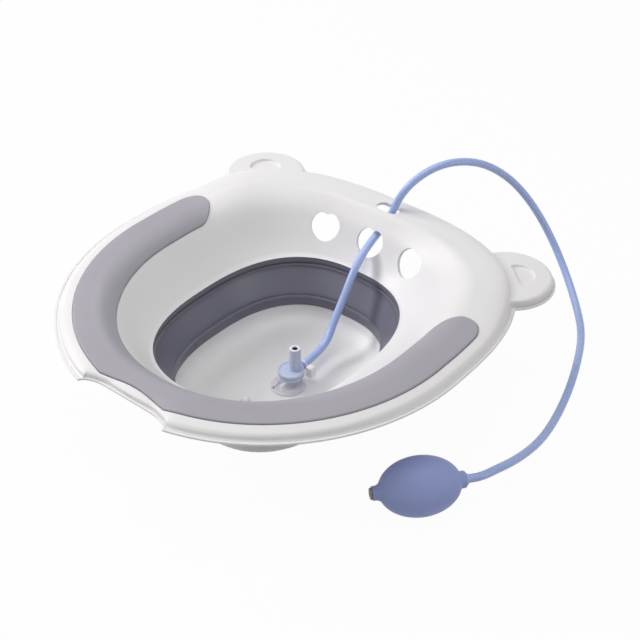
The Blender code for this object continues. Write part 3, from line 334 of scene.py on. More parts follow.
# How finely the meshes are divided
RING_STEP = 2.0
NOTCH_SHARES = (
    0.0, 0.09, 0.18, 0.27, 0.36, 0.45, 0.53, 0.58, 0.63, 0.68, 0.725, 0.77, 0.815, 0.855, 0.89,
    0.92, 0.945, 0.965, 0.98, 0.991, 1.0, 1.02, 1.05, 1.10, 1.17, 1.26, 1.37, 1.50, 1.63, 1.77,
)
PLAIN_SHARES = (0.0, 0.14, 0.28, 0.42, 0.56, 0.70, 0.84, 0.98, 1.12, 1.26, 1.40, 1.54, 1.68, 1.77)
MERGE_REACH = 0.000008
SHARP_ANGLE = 34.0
FOLD_SHARP_ANGLE = 26.0
HOSE_SHARP_ANGLE = 50.0
FOLD_ROWS = 10
PAD_COLUMNS = 13
PAD_TOP_COLUMNS = 15
PAD_EDGE_STEPS = 5
PAD_TIP_STEPS = 23
PAD_TIP_STEP = 4.0
PAD_TIP_SPACE = 0.012
EAR_STEPS = 120
EAR_RECESS_STEPS = 33
SLOT_STEPS = 40
BULB_STEPS = 96
NOZZLE_STEPS = 72
CUP_STEPS = 64
SMALL_STEPS = 48
STUD_STEPS = 40
STUD_CROWN_STEPS = 8
BORE_STEPS = 36
BOSS_STEPS = 32
HOLE_STEPS = 20

CAMERA_PLACE = (0.58956, -0.65706, 0.72719)
CAMERA_DOWN = 36.63
CAMERA_TURN = 39.61
CAMERA_LENS = 73.106
CAMERA_SENSOR = 36.0
CAMERA_REACH = 50.0

WORLD_COLOUR = (1.0, 0.99, 0.965)
WORLD_STRENGTH = 0.22
FLOOR_REACH = 4.0
FLOOR_GREY = 0.80
FLOOR_WHITE_SHARE = 0.965
LIGHT_TARGET = (0.0, 0.02, 0.06)
COOL = (0.99, 0.972, 1.0)
WHITE = (1.0, 1.0, 1.0)
# Each softbox: name, place, side, power and colour
LIGHTS = (
    ("key_softbox", (-1.338, 0.020, 1.264), 0.60, 7.0, COOL),
    ("front_softbox", (-1.402, -0.706, 0.960), 0.42, 11.5, COOL),
    ("top_softbox", (0.05, 0.00, 1.75), 1.2, 10.3, WHITE),
    ("right_softbox", (1.700, 0.476, 0.434), 0.8, 3.0, WHITE),
)

# The part of the noise's range that is used, and its detail
TONE_SPREAD = (0.35, 0.65)
TONE_DETAIL = 3.0
ROUGHNESS_SPREAD = (0.3, 0.7)
ROUGHNESS_DETAIL = 4.0
BUMP_DETAIL = 2.0
# Each look: the material's name, display colour and roughness, the two tones that it varies between
# with the scale of the change, the two roughnesses with theirs, the bump's scale, distance and
# strength, and other sockets of the shader.
LOOKS = {
    "white": (
        "white_polypropylene", (0.955, 0.950, 0.950), 0.36,
        ((0.950, 0.945, 0.945), (0.960, 0.956, 0.957), 9.0),
        (0.37, 0.41, 60.0), (1400.0, 0.00002, 0.5),
        {"Subsurface Weight": 0.08, "Subsurface Radius": (0.006,) * 3, "Subsurface Scale": 1.0},
    ),
    "pad": (
        "seat_pad_elastomer", (0.672, 0.662, 0.697), 0.58,
        ((0.665, 0.655, 0.690), (0.679, 0.669, 0.704), 14.0),
        (0.52, 0.64, 90.0), (2600.0, 0.00004, 0.6), {},
    ),
    "fold": (
        "folding_wall_elastomer", (0.450, 0.449, 0.505), 0.29,
        ((0.443, 0.442, 0.498), (0.457, 0.456, 0.512), 16.0),
        (0.28, 0.31, 80.0), (2200.0, 0.00003, 0.6), {},
    ),
    "vinyl": (
        "clear_vinyl", (0.972, 0.970, 0.990), 0.18,
        None, (0.12, 0.22, 150.0), (500.0, 0.00005, 0.5),
        {"Transmission Weight": 0.26, "IOR": 1.40},
    ),
    "nozzle": (
        "nozzle_plastic", (0.800, 0.840, 0.935), 0.24,
        ((0.792, 0.833, 0.930), (0.808, 0.847, 0.940), 60.0),
        (0.20, 0.30, 200.0), (1500.0, 0.00002, 0.5), {},
    ),
    # bore: a dark blue painted shade for the inside of the spout's bore and of the tab's hole
    "bore": ("bore_shadow", (0.26, 0.30, 0.47), 0.6, None, (0.5, 0.7, 300.0), None, {}),
    # edge: a pale painted highlight for the spout's rim and the cup's rib
    "edge": ("nozzle_painted_highlight", (0.945, 0.952, 0.985), 0.30, None, (0.26, 0.36, 300.0), None, {}),
    "hose": (
        "hose_elastomer", (0.690, 0.772, 0.978), 0.26,
        ((0.682, 0.764, 0.972), (0.698, 0.780, 0.984), 30.0),
        (0.22, 0.32, 120.0), (900.0, 0.00001, 0.4), {},
    ),
    "bulb": (
        "bulb_rubber", (0.628, 0.682, 0.895), 0.56,
        ((0.620, 0.674, 0.888), (0.636, 0.690, 0.902), 26.0),
        (0.50, 0.62, 140.0), (1800.0, 0.00005, 0.6), {},
    ),
    "nylon": (
        "tie_nylon", (0.975, 0.972, 0.970), 0.30, None, (0.28, 0.42, 300.0), (900.0, 0.00003, 0.5),
        {"Subsurface Weight": 0.25, "Subsurface Radius": (0.003,) * 3, "Subsurface Scale": 1.0},
    ),
    "valve": (
        "valve_plastic", (0.520, 0.525, 0.470), 0.42,
        ((0.505, 0.510, 0.450), (0.540, 0.545, 0.495), 160.0),
        (0.36, 0.52, 300.0), (1200.0, 0.00003, 0.5), {},
    ),
    "steel": (
        "valve_ball_steel", (0.780, 0.780, 0.790), 0.2,
        None, (0.14, 0.26, 900.0), None, {"Metallic": 1.0},
    ),
}


# Camera, lights and stage

def display_colour(colour):
    """Turn display values from 0 to 1 into a shader's linear values, with an alpha of 1."""
    return (*(((v + 0.055) / 1.055) ** 2.4 if v > 0.04045 else v / 12.92 for v in colour), 1.0)


def make_camera():
    data = bpy.data.cameras.new("camera")
    data.lens = CAMERA_LENS
    data.sensor_width = CAMERA_SENSOR
    data.clip_end = CAMERA_REACH
    camera = bpy.data.objects.new("camera", data)
    camera.location = CAMERA_PLACE
    camera.rotation_euler = (math.radians(90 - CAMERA_DOWN), 0, math.radians(CAMERA_TURN))
    bpy.context.scene.collection.objects.link(camera)
    bpy.context.scene.camera = camera


def make_lights():
    for name, location, side, power, colour in LIGHTS:
        data = bpy.data.lights.new(name, "AREA")
        data.shape = "RECTANGLE"
        data.size = side
        data.size_y = side
        data.energy = power
        data.color = colour
        lamp = bpy.data.objects.new(name, data)
        lamp.location = location
        aim = Vector(LIGHT_TARGET) - Vector(location)
        lamp.rotation_euler = aim.to_track_quat("-Z", "Y").to_euler()
        bpy.context.scene.collection.objects.link(lamp)


def backdrop_share(tree, plain, white):
    """Mix a plain surface with white for rays from the camera, gloss and clear parts."""
    nodes, links = tree.nodes, tree.links
    path = nodes.new("ShaderNodeLightPath")
    share = path.outputs["Is Camera Ray"]
    for kind in ("Is Glossy Ray", "Is Transmission Ray"):
        either = nodes.new("ShaderNodeMath")
        either.operation = "MAXIMUM"
        links.new(share, either.inputs[0])
        links.new(path.outputs[kind], either.inputs[1])
        share = either.outputs[0]
    mix = nodes.new("ShaderNodeMixShader")
    links.new(share, mix.inputs[0])
    links.new(plain, mix.inputs[1])
    links.new(white, mix.inputs[2])
    return mix.outputs[0]


def emitter(tree, kind, colour, strength):
    """Add a node that gives off a colour, and return its output."""
    node = tree.nodes.new(kind)
    node.inputs["Color"].default_value = (*colour, 1.0)
    node.inputs["Strength"].default_value = strength
    return node.outputs[0]


def make_world():
    world = bpy.data.worlds.new("world")
    bpy.context.scene.world = world
    world.use_nodes = True
    tree = world.node_tree
    tree.nodes.clear()
    output = tree.nodes.new("ShaderNodeOutputWorld")
    plain = emitter(tree, "ShaderNodeBackground", WORLD_COLOUR, WORLD_STRENGTH)
    white = emitter(tree, "ShaderNodeBackground", WHITE, 1.0)
    tree.links.new(backdrop_share(tree, plain, white), output.inputs["Surface"])


def make_floor():
    mesh = bpy.data.meshes.new("floor")
    corners = ((-1, -1), (1, -1), (1, 1), (-1, 1))
    places = [(x * FLOOR_REACH, y * FLOOR_REACH, 0) for x, y in corners]
    mesh.from_pydata(places, [], [(0, 1, 2, 3)])
    material = bpy.data.materials.new("floor")
    material.use_nodes = True
    tree = material.node_tree
    tree.nodes.clear()
    output = tree.nodes.new("ShaderNodeOutputMaterial")
    plain = tree.nodes.new("ShaderNodeBsdfDiffuse")
    plain.inputs["Color"].default_value = (FLOOR_GREY, FLOOR_GREY, FLOOR_GREY, 1.0)
    shadowed = tree.nodes.new("ShaderNodeMixShader")
    shadowed.inputs[0].default_value = FLOOR_WHITE_SHARE
    tree.links.new(plain.outputs[0], shadowed.inputs[1])
    tree.links.new(emitter(tree, "ShaderNodeEmission", WHITE, 1.0), shadowed.inputs[2])
    surface = backdrop_share(tree, plain.outputs[0], shadowed.outputs[0])
    tree.links.new(surface, output.inputs["Surface"])
    link_piece(mesh, material)


# Materials

def add_noise(tree, scale, detail):
    coordinates = tree.nodes.new("ShaderNodeTexCoord")
    noise = tree.nodes.new("ShaderNodeTexNoise")
    noise.inputs["Scale"].default_value = scale
    noise.inputs["Detail"].default_value = detail
    tree.links.new(coordinates.outputs["Object"], noise.inputs["Vector"])
    return noise.outputs["Fac"]


def vary_colour(tree, shader, low, high, scale):
    """Blend two close tones by a soft noise, as moulded pieces vary in tone."""
    ramp = tree.nodes.new("ShaderNodeValToRGB")
    for element, position, colour in zip(ramp.color_ramp.elements, TONE_SPREAD, (low, high)):
        element.position = position
        element.color = display_colour(colour)
    tree.links.new(add_noise(tree, scale, TONE_DETAIL), ramp.inputs["Fac"])
    tree.links.new(ramp.outputs["Color"], shader.inputs["Base Color"])


def vary_roughness(tree, shader, low, high, scale):
    spread = tree.nodes.new("ShaderNodeMapRange")
    spread.inputs["From Min"].default_value = ROUGHNESS_SPREAD[0]
    spread.inputs["From Max"].default_value = ROUGHNESS_SPREAD[1]
    spread.inputs["To Min"].default_value = low
    spread.inputs["To Max"].default_value = high
    tree.links.new(add_noise(tree, scale, ROUGHNESS_DETAIL), spread.inputs["Value"])
    tree.links.new(spread.outputs["Result"], shader.inputs["Roughness"])


def add_bump(tree, shader, scale, distance, strength):
    bump = tree.nodes.new("ShaderNodeBump")
    bump.inputs["Strength"].default_value = strength
    bump.inputs["Distance"].default_value = distance
    tree.links.new(add_noise(tree, scale, BUMP_DETAIL), bump.inputs["Height"])
    tree.links.new(bump.outputs["Normal"], shader.inputs["Normal"])


def make_material(name, colour, roughness, tones, roughnesses, bump, sockets):
    material = bpy.data.materials.new(name)
    material.use_nodes = True
    tree = material.node_tree
    shader = tree.nodes["Principled BSDF"]
    shader.inputs["Base Color"].default_value = display_colour(colour)
    shader.inputs["Roughness"].default_value = roughness
    for socket, value in sockets.items():
        shader.inputs[socket].default_value = value
    if tones:
        vary_colour(tree, shader, *tones)
    vary_roughness(tree, shader, *roughnesses)
    if bump:
        add_bump(tree, shader, *bump)
    return material


# Mesh helpers

def link_piece(mesh, material=None, location=(0, 0, 0), rotation=(0, 0, 0)):
    """Make an object of a mesh, under the mesh's name."""
    piece = bpy.data.objects.new(mesh.name, mesh)
    piece.location = location
    piece.rotation_euler = rotation
    bpy.context.scene.collection.objects.link(piece)
    if material is not None:
        mesh.materials.append(material)
    return piece


def shade(mesh, sharp):
    mesh.shade_smooth()
    mesh.set_sharp_from_angle(angle=math.radians(sharp))


def finish_mesh(name, builder, sharp):
    bmesh.ops.remove_doubles(builder, verts=builder.verts, dist=MERGE_REACH)
    bmesh.ops.recalc_face_normals(builder, faces=builder.faces)
    mesh = bpy.data.meshes.new(name)
    builder.to_mesh(mesh)
    builder.free()
    shade(mesh, sharp)
    return mesh


def loft(name, sections, close_along=True, close_across=True, sharp=SHARP_ANGLE):
    """Skin a list of sections, each with the same number of points."""
    builder = bmesh.new()
    grid = [[builder.verts.new(point) for point in section] for section in sections]
    rows = len(grid)
    count = len(grid[0])
    for row in range(rows if close_along else rows - 1):
        here = grid[row]
        following = grid[(row + 1) % rows]
        for index in range(count if close_across else count - 1):
            after = (index + 1) % count
            builder.faces.new((here[index], following[index], following[after], here[after]))
    if not close_along:
        builder.faces.new(grid[0])
        builder.faces.new(grid[-1])
    return finish_mesh(name, builder, sharp)


def place(angle, line):
    """Stand a line of radius and height up at an angle about the Z axis."""
    return [(radius * math.cos(angle), radius * math.sin(angle), height) for radius, height in line]


def turned(name, profile, steps):
    """Turn a profile about the Z axis: a closed loop, or a line from axis to axis."""
    sections = [place(math.tau * step / steps, profile) for step in range(steps)]
    return loft(name, sections, close_across=profile[0][0] != 0)


def rounded_block(name, size, rounding, segments, location):
    builder = bmesh.new()
    bmesh.ops.create_cube(builder, size=1)
    bmesh.ops.scale(builder, vec=size, verts=builder.verts)
    edges = builder.edges
    bmesh.ops.bevel(
        builder, geom=edges, offset=rounding, segments=segments, profile=0.5, affect="EDGES",
    )
    return link_piece(finish_mesh(name, builder, SHARP_ANGLE), None, location)


def combine(piece, *steps):
    """Join tools to a piece or cut them out of it, in turn, and remove the tools."""
    for operation, tool in steps:
        modifier = piece.modifiers.new(tool.name, "BOOLEAN")
        modifier.object = tool
        modifier.operation = operation
        modifier.solver = "EXACT"
    bpy.context.view_layer.update()
    evaluated = piece.evaluated_get(bpy.context.evaluated_depsgraph_get())
    mesh = bpy.data.meshes.new_from_object(evaluated)
    mesh.name = piece.name
    shade(mesh, SHARP_ANGLE)
    piece.modifiers.clear()
    piece.data = mesh
    for operation, tool in steps:
        bpy.data.objects.remove(tool)


def hermite(points, parts):
    """A smooth curve through the points, with each span cut into parts."""
    points = np.array(points, float)
    spans = np.linalg.norm(np.diff(points, axis=0), axis=1)
    slopes = np.diff(points, axis=0) / spans[:, None]
    tangents = np.empty_like(points)
    tangents[0] = slopes[0]
    tangents[-1] = slopes[-1]
    weight = (spans[1:] / (spans[:-1] + spans[1:]))[:, None]
    tangents[1:-1] = slopes[:-1] * weight + slopes[1:] * (1 - weight)
    curve = []
    for index in range(len(points) - 1):
        for part in range(parts):
            t = part / parts
            span = spans[index]
            point = (2 * t ** 3 - 3 * t ** 2 + 1) * points[index]
            point += (t ** 3 - 2 * t ** 2 + t) * span * tangents[index]
            point += (-2 * t ** 3 + 3 * t ** 2) * points[index + 1]
            point += (t ** 3 - t ** 2) * span * tangents[index + 1]
            curve.append(point)
    curve.append(points[-1])
    return np.array(curve)


def fillet(corner, before, after, radius, parts=4):
    """Points of a round corner between two straight sides of a profile."""
    corner, before, after = np.array((corner, before, after), float)
    back = (before - corner) / np.linalg.norm(before - corner)
    ahead = (after - corner) / np.linalg.norm(after - corner)
    half = math.acos(max(-1.0, min(1.0, float(back @ ahead)))) / 2
    reach = radius / math.tan(half)
    middle = corner + (back + ahead) / np.linalg.norm(back + ahead) * radius / math.sin(half)
    start = corner + back * reach - middle
    end = corner + ahead * reach - middle
    turn = math.pi - 2 * half
    points = []
    for part in range(parts + 1):
        share = part / parts
        a = math.sin((1 - share) * turn) / math.sin(turn)
        b = math.sin(share * turn) / math.sin(turn)
        points.append(tuple(middle + a * start + b * end))
    return points


def round_profile(profile, radii, closed=False):
    """Round the named corners of a profile: radii maps a point's index to its radius."""
    points = []
    count = len(profile)
    for index, point in enumerate(profile):
        radius = radii.get(index, 0)
        if radius and (closed or 0 < index < count - 1):
            points.extend(fillet(point, profile[index - 1], profile[(index + 1) % count], radius))
        else:
            points.append(tuple(point))
    return points


# The basin's shape

def smooth_step(value, low, high):
    share = min(max((value - low) / (high - low), 0.0), 1.0)
    return share * share * (3 - 2 * share)


def oval_radius(angle, half_x, half_y, power):
    across = abs(math.cos(angle)) / half_x
    along = abs(math.sin(angle)) / half_y
    return (across ** power + along ** power) ** (-1 / power)


def outline_radius(angle):
    if math.sin(angle) < 0:
        return oval_radius(angle, RIM_HALF_WIDTH, RIM_FRONT_REACH, RIM_FRONT_POWER)
    return oval_radius(angle, RIM_HALF_WIDTH, RIM_REAR_REACH, RIM_REAR_POWER)


def notch_mouth_reach():
    return RIM_FRONT_REACH * math.sqrt(1 - (NOTCH_HALF_MOUTH / RIM_HALF_WIDTH) ** 2)


def notch_inset(angle):
    """How far the pouring notch cuts in: its straight edge curves out to a corner at each end."""
    reach = outline_radius(angle)
    sideways = abs(reach * math.cos(angle))
    if math.sin(angle) >= 0 or sideways >= NOTCH_HALF_MOUTH:
        return 0.0
    run = max(sideways - NOTCH_HALF_FLAT, 0) / (NOTCH_HALF_MOUTH - NOTCH_HALF_FLAT)
    edge = RIM_FRONT_REACH - NOTCH_DEPTH
    edge += (notch_mouth_reach() - edge) * (1 - math.sqrt(1 - run ** 2))
    return max(reach + edge / math.sin(angle), 0.0)


def soft_notch_inset(angle):
    """The same cut with its corners eased, for the roll inside the lip."""
    sideways = abs(outline_radius(angle) * math.cos(angle))
    if math.sin(angle) >= 0 or sideways >= NOTCH_SOFT_HALF_MOUTH:
        return 0.0
    return NOTCH_DEPTH * (1 - smooth_step(sideways, NOTCH_SOFT_HALF_FLAT, NOTCH_SOFT_HALF_MOUTH))


def pad_notch_inset(angle):
    sideways = abs(outline_radius(angle) * math.cos(angle))
    if math.sin(angle) >= 0 or sideways >= PAD_NOTCH_HALF_MOUTH:
        return 0.0
    return PAD_NOTCH_DEPTH * (1 - (sideways / PAD_NOTCH_HALF_MOUTH) ** 2)


def rear_share(angle):
    """How much of the rear's rise a direction has: 0 at the sides and 1 at the crest."""
    return smooth_step(math.sin(angle), REAR_FROM_SHARE, REAR_TO_SHARE)


def fold_radius(angle, share):
    half_x = FOLD_FOOT_HALF_WIDTH + share * (FOLD_TOP_HALF_WIDTH - FOLD_FOOT_HALF_WIDTH)
    half_y = FOLD_FOOT_HALF_LENGTH + share * (FOLD_TOP_HALF_LENGTH - FOLD_FOOT_HALF_LENGTH)
    return oval_radius(angle, half_x, half_y, FOLD_POWER)


def rim_point(angle, shares):
    inward, upward, notch_part, rear_part, dip_part = shares
    soft = min(inward / NOTCH_SOFT_SHARE, 1.0)
    cut = soft * soft_notch_inset(angle) + (1 - soft) * notch_inset(angle)
    radius = outline_radius(angle) - inward * FLANGE_WIDTH - notch_part * cut
    height = LIP_Z + upward * RIM_RISE + rear_part * REAR_RISE * rear_share(angle)
    return radius, height - dip_part * NOTCH_DIP * cut / NOTCH_DEPTH


def shell_stations(angle):
    """The shell's visible face in a direction, from the folding wall to the lip's edge."""
    start = fold_radius(angle, 1.0)
    flange_radius, flange_height = rim_point(angle, RIM_SHARES[0])
    side = math.cos(angle) ** 2
    line = []
    for outward, front_rise, side_rise in WALL_SHARES:
        upward = front_rise + side * (side_rise - front_rise)
        radius = start + outward * (flange_radius - start)
        line.append((radius, FOLD_TOP_Z + upward * (flange_height - FOLD_TOP_Z)))
    line.extend(rim_point(angle, shares) for shares in RIM_SHARES)
    return np.array(line)


def line_normals(line):
    steps = np.diff(line, axis=0)
    steps /= np.linalg.norm(steps, axis=1)[:, None]
    mean = np.vstack((steps[:1], steps[:-1] + steps[1:], steps[-1:]))
    mean /= np.linalg.norm(mean, axis=1)[:, None]
    return np.column_stack((-mean[:, 1], mean[:, 0]))


def fine_line(angle):
    """The visible face from the folding wall to the groove beside the lip, smoothed."""
    return hermite(shell_stations(angle)[:-1], 4)


def shell_section(angle):
    stations = shell_stations(angle)
    normals = line_normals(stations)
    top = fine_line(angle)
    lip_radius = stations[-1][0]
    lip_top = stations[-1][1]
    skirt_index = len(WALL_SHARES) + SKIRT_STATION
    skirt = stations[skirt_index] - SHELL_WALL * normals[skirt_index]
    line_radius = stations[-2][0]
    lip = [
        (line_radius + LINE_WIDTH * LINE_DRAFT_SHARE, lip_top - LINE_DEPTH),
        (line_radius + LINE_WIDTH, lip_top - LINE_DEPTH),
        (line_radius + LINE_WIDTH * (1 + LINE_DRAFT_SHARE), lip_top),
    ]
    inward = lip_radius - LIP_UNDERSIDE_WIDTH
    top_edge, foot_edge = (lip_radius, lip_top), (lip_radius, LIP_Z)
    lip += fillet(top_edge, (inward, lip_top), foot_edge, LIP_ROUNDING, parts=3)
    lip += fillet(foot_edge, top_edge, (inward, LIP_Z), LIP_ROUNDING, parts=3)
    lip.append((max(inward, skirt[0]), LIP_Z))
    under = [skirt]
    rim_indices = [len(WALL_SHARES) + station for station in reversed(RIM_UNDER_STATIONS)]
    for index in rim_indices + list(reversed(WALL_UNDER_STATIONS)):
        under.append(stations[index] - SHELL_WALL * normals[index])
    start = fold_radius(angle, 1.0)
    collar_in = start + FOLD_THICKNESS + CLEARANCE
    collar_foot = UPPER_RIDGE_Z + CLEARANCE
    collar = [
        (start + COLLAR_OUT, FOLD_TOP_Z - COLLAR_WALL / 2),
        (start + COLLAR_OUT, collar_foot),
        (collar_in, collar_foot),
        (collar_in, FOLD_TOP_Z),
    ]
    return place(angle, list(top) + lip + list(hermite(under, 2)) + collar)


def fine_angles(front_shares=NOTCH_SHARES):
    """Directions round the basin, from the front, finer at the notch's corners."""
    corner = math.degrees(math.atan2(NOTCH_HALF_MOUTH, notch_mouth_reach()))
    side = [share * corner for share in front_shares]
    rest = 180.0 - side[-1]
    steps = round(rest / RING_STEP)
    side.extend([180.0 - rest * (steps - index) / steps for index in range(1, steps)])
    turns = side + [180.0] + [-turn for turn in reversed(side[1:])]
    return [math.radians(turn - 90.0) for turn in turns]


def surface_point(line, normals, radius, lift):
    """The point above a line at a radius, lifted square to the line."""
    height = np.interp(radius, line[:, 0], line[:, 1])
    across = np.interp(radius, line[:, 0], normals[:, 0])
    upward = np.interp(radius, line[:, 0], normals[:, 1])
    length = math.hypot(across, upward)
    return radius + lift * across / length, height + lift * upward / length


def pad_limits(angle):
    start = fold_radius(angle, 1.0)
    flange_radius = rim_point(angle, RIM_SHARES[0])[0]
    side = math.cos(angle) ** 2
    inner = start + PAD_INNER_SHARE * (flange_radius - start)
    margin = PAD_FRONT_MARGIN + side * (PAD_SIDE_MARGIN - PAD_FRONT_MARGIN)
    outer = outline_radius(angle) - margin - pad_notch_inset(angle)
    return inner, outer


def pad_section(angle, width_share, stations, grow):
    inner, outer = pad_limits(angle)
    middle = (inner + outer) / 2
    half = (outer - inner) / 2 * width_share + grow
    line = fine_line(angle)
    normals = line_normals(line)
    return place(angle, [
        surface_point(line, normals, middle + half * across, lift) for across, lift in stations
    ])


def pad_sections(stations, grow):
    """Sections from one end of the pad to the other, drawn in towards a round tip at each end."""
    tip = math.radians(PAD_END_ANGLE)
    inner, outer = pad_limits(tip)
    round_off = (outer - inner) / (outer + inner)
    grow_angle = 2 * grow / (outer + inner)
    inner_end = tip - round_off
    turns = []
    for step in range(1, PAD_TIP_STEPS):
        turn = math.radians(PAD_TIP_STEP * step)
        turns.append((inner_end + (round_off + grow_angle) * math.cos(turn), math.sin(turn)))
    last = inner_end - PAD_TIP_SPACE
    side = [angle for angle in fine_angles() if math.cos(angle) > 0 and angle < last]
    turns.extend((angle, 1.0) for angle in reversed(side))
    right = [pad_section(angle, share, stations, grow * share) for angle, share in turns]
    middle = pad_section(-math.pi / 2, 1.0, stations, grow)
    left = [[(-x, y, z) for x, y, z in section] for section in reversed(right)]
    return right + [middle] + left


def prism(name, outlines):
    """Loft flat outlines, each a list of points with its own height, and close both ends."""
    sections = [[(x, y, height) for x, y in outline] for outline, height in outlines]
    return loft(name, sections, close_along=False)


def heart_outline():
    points = []
    for index in range(HEART_POINTS):
        turn = 360.0 * index / HEART_POINTS
        from_top = min(turn, 360.0 - turn)
        from_tip = abs(turn - 180.0)
        radius = 1 - HEART_DIP_SHARE * math.exp(-((from_top / HEART_DIP_SPREAD) ** 2))
        radius += HEART_TIP_SHARE * math.exp(-((from_tip / HEART_TIP_SPREAD) ** 2))
        angle = math.radians(turn)
        points.append((radius * math.sin(angle), radius * math.cos(angle)))
    wide = max(x for x, y in points)
    high = max(y for x, y in points)
    low = min(y for x, y in points)
    middle = (high + low) / 2
    scale_x = HEART_WIDTH / 2 / wide
    scale_y = HEART_HEIGHT / (high - low)
    return [(x * scale_x, (y - middle) * scale_y) for x, y in points]


def slot_outline(width, length, count):
    straight = (width - length) / 2
    points = []
    for index in range(count):
        angle = math.tau * (index + 0.5) / count
        x = length / 2 * math.cos(angle)
        points.append((x + math.copysign(straight, x), length / 2 * math.sin(angle)))
    return points


def half_disc_outline(radius, count):
    corner = radius / 7
    reach = radius - corner
    points = []
    for index in range(count):
        angle = math.pi * (index / (count - 1) - 0.5)
        points.append((corner + reach * math.cos(angle), reach * math.sin(angle)))
    corners = [(reach - corner, math.pi / 2 * (1 + step / 4)) for step in range(1, 5)]
    corners += [(corner - reach, math.pi * (1 + step / 8)) for step in range(4)]
    for middle, angle in corners:
        points.append((corner + corner * math.cos(angle), middle + corner * math.sin(angle)))
    return points


def scaled(outline, grow):
    """Grow an outline by about a distance, from its own middle."""
    middle = np.mean(np.array(outline), axis=0)
    points = []
    for point in outline:
        away = np.array(point) - middle
        length = np.linalg.norm(away)
        points.append(tuple(middle + away * (length + grow) / length))
    return points


def make_ear(side):
    plate_z = LIP_Z + EAR_RISE
    foot_z = LIP_Z + EAR_LIFT
    inner = EAR_RADIUS - EAR_LIP - EAR_WALL
    body = EAR_RADIUS - EAR_LIP
    lip_top = foot_z + LIP_THICKNESS
    profile = [
        (0, plate_z),
        (body - EAR_EDGE, plate_z),
        (body - EAR_EDGE / 4, plate_z - EAR_EDGE / 4),
        (body, plate_z - EAR_EDGE),
        (body, lip_top - LINE_DEPTH),
        (body + LINE_WIDTH, lip_top - LINE_DEPTH),
        (body + LINE_WIDTH * (1 + LINE_DRAFT_SHARE), lip_top),
        (EAR_RADIUS, lip_top),
        (EAR_RADIUS, foot_z),
        (inner, foot_z),
        (inner, plate_z - EAR_WALL),
        (0, plate_z - EAR_WALL),
    ]
    rounds = {1: 0.0020, 2: EAR_ROUNDING, 3: 0.0015, 7: LIP_ROUNDING, 8: LIP_ROUNDING, 10: 0.001}
    profile = round_profile(profile, rounds)
    location = (side * EAR_PLACE_X, EAR_PLACE_Y, 0)
    ear = link_piece(turned("ear_tool", profile, EAR_STEPS), None, location)
    turn = math.radians(EAR_TURN if side > 0 else 180.0 - EAR_TURN)
    x = side * EAR_PLACE_X + EAR_RECESS_OFFSET * math.cos(turn)
    y = EAR_PLACE_Y + EAR_RECESS_OFFSET * math.sin(turn)
    outline = half_disc_outline(EAR_RECESS_RADIUS, EAR_RECESS_STEPS)
    levels = [
        (scaled(outline, EAR_RECESS_DRAFT * grow), plate_z - EAR_RECESS_DEPTH * down)
        for grow, down in EAR_RECESS_SHARES
    ]
    top = scaled(outline, EAR_RECESS_DRAFT * EAR_RECESS_TOP_SHARE)
    levels.extend(((top, plate_z + 0.00001), (top, plate_z + OVERRUN)))
    recess = link_piece(prism("ear_recess", levels), None, (x, y, 0), (0, 0, turn))
    inset = RIM_SHARES[EAR_CORE_STATION][0] * FLANGE_WIDTH + SHELL_WALL / 2
    outline = []
    for angle in fine_angles():
        radius = outline_radius(angle) - inset - notch_inset(angle)
        outline.append((radius * math.cos(angle), radius * math.sin(angle)))
    core = link_piece(prism("rim_core", ((outline, LIP_Z - OVERRUN), (outline, CREST_Z + OVERRUN))))
    combine(ear, ("DIFFERENCE", core), ("DIFFERENCE", recess))
    return ear


def wall_radius_at(angle, height):
    rising = shell_stations(angle)[: len(WALL_SHARES) + 1]
    return np.interp(height, rising[:, 1], rising[:, 0])


def make_upper_shell(material):
    sections = [shell_section(angle) for angle in fine_angles()]
    shell = link_piece(loft("upper_shell_body", sections), material)
    steps = [("UNION", make_ear(side)) for side in (1, -1)]
    outline = heart_outline()
    half = HEART_TOOL_LENGTH / 2
    lean = math.radians(90.0 - HEART_LEAN)
    for turn in (-HEART_SPREAD, 0.0, HEART_SPREAD):
        angle = math.radians(90.0 + turn)
        radius = wall_radius_at(angle, HEART_MIDDLE_HEIGHT)
        location = (radius * math.cos(angle), radius * math.sin(angle), HEART_MIDDLE_HEIGHT)
        rotation = (lean, 0, math.radians(turn))
        mesh = prism("heart_tool", ((outline, -half), (outline, half)))
        steps.append(("DIFFERENCE", link_piece(mesh, None, location, rotation)))
    outline = slot_outline(SLOT_WIDTH, SLOT_LENGTH, SLOT_STEPS)
    levels = ((outline, LIP_Z - OVERRUN), (outline, CREST_Z + REAR_RISE + OVERRUN))
    slot = link_piece(prism("slot_tool", levels), None, (0, RIM_REAR_REACH - SLOT_SETBACK, 0))
    across = np.linspace(-1, 1, PAD_COLUMNS)
    stations = [(share, -PAD_DEPTH - CLEARANCE) for share in across]
    stations.extend((share, OVERRUN) for share in reversed(across))
    recess = link_piece(loft("pad_tool", pad_sections(stations, PAD_GAP), close_along=False))
    combine(shell, *steps, ("DIFFERENCE", slot), ("DIFFERENCE", recess))
    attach(shell, "rim")
    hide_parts("upper_shell")


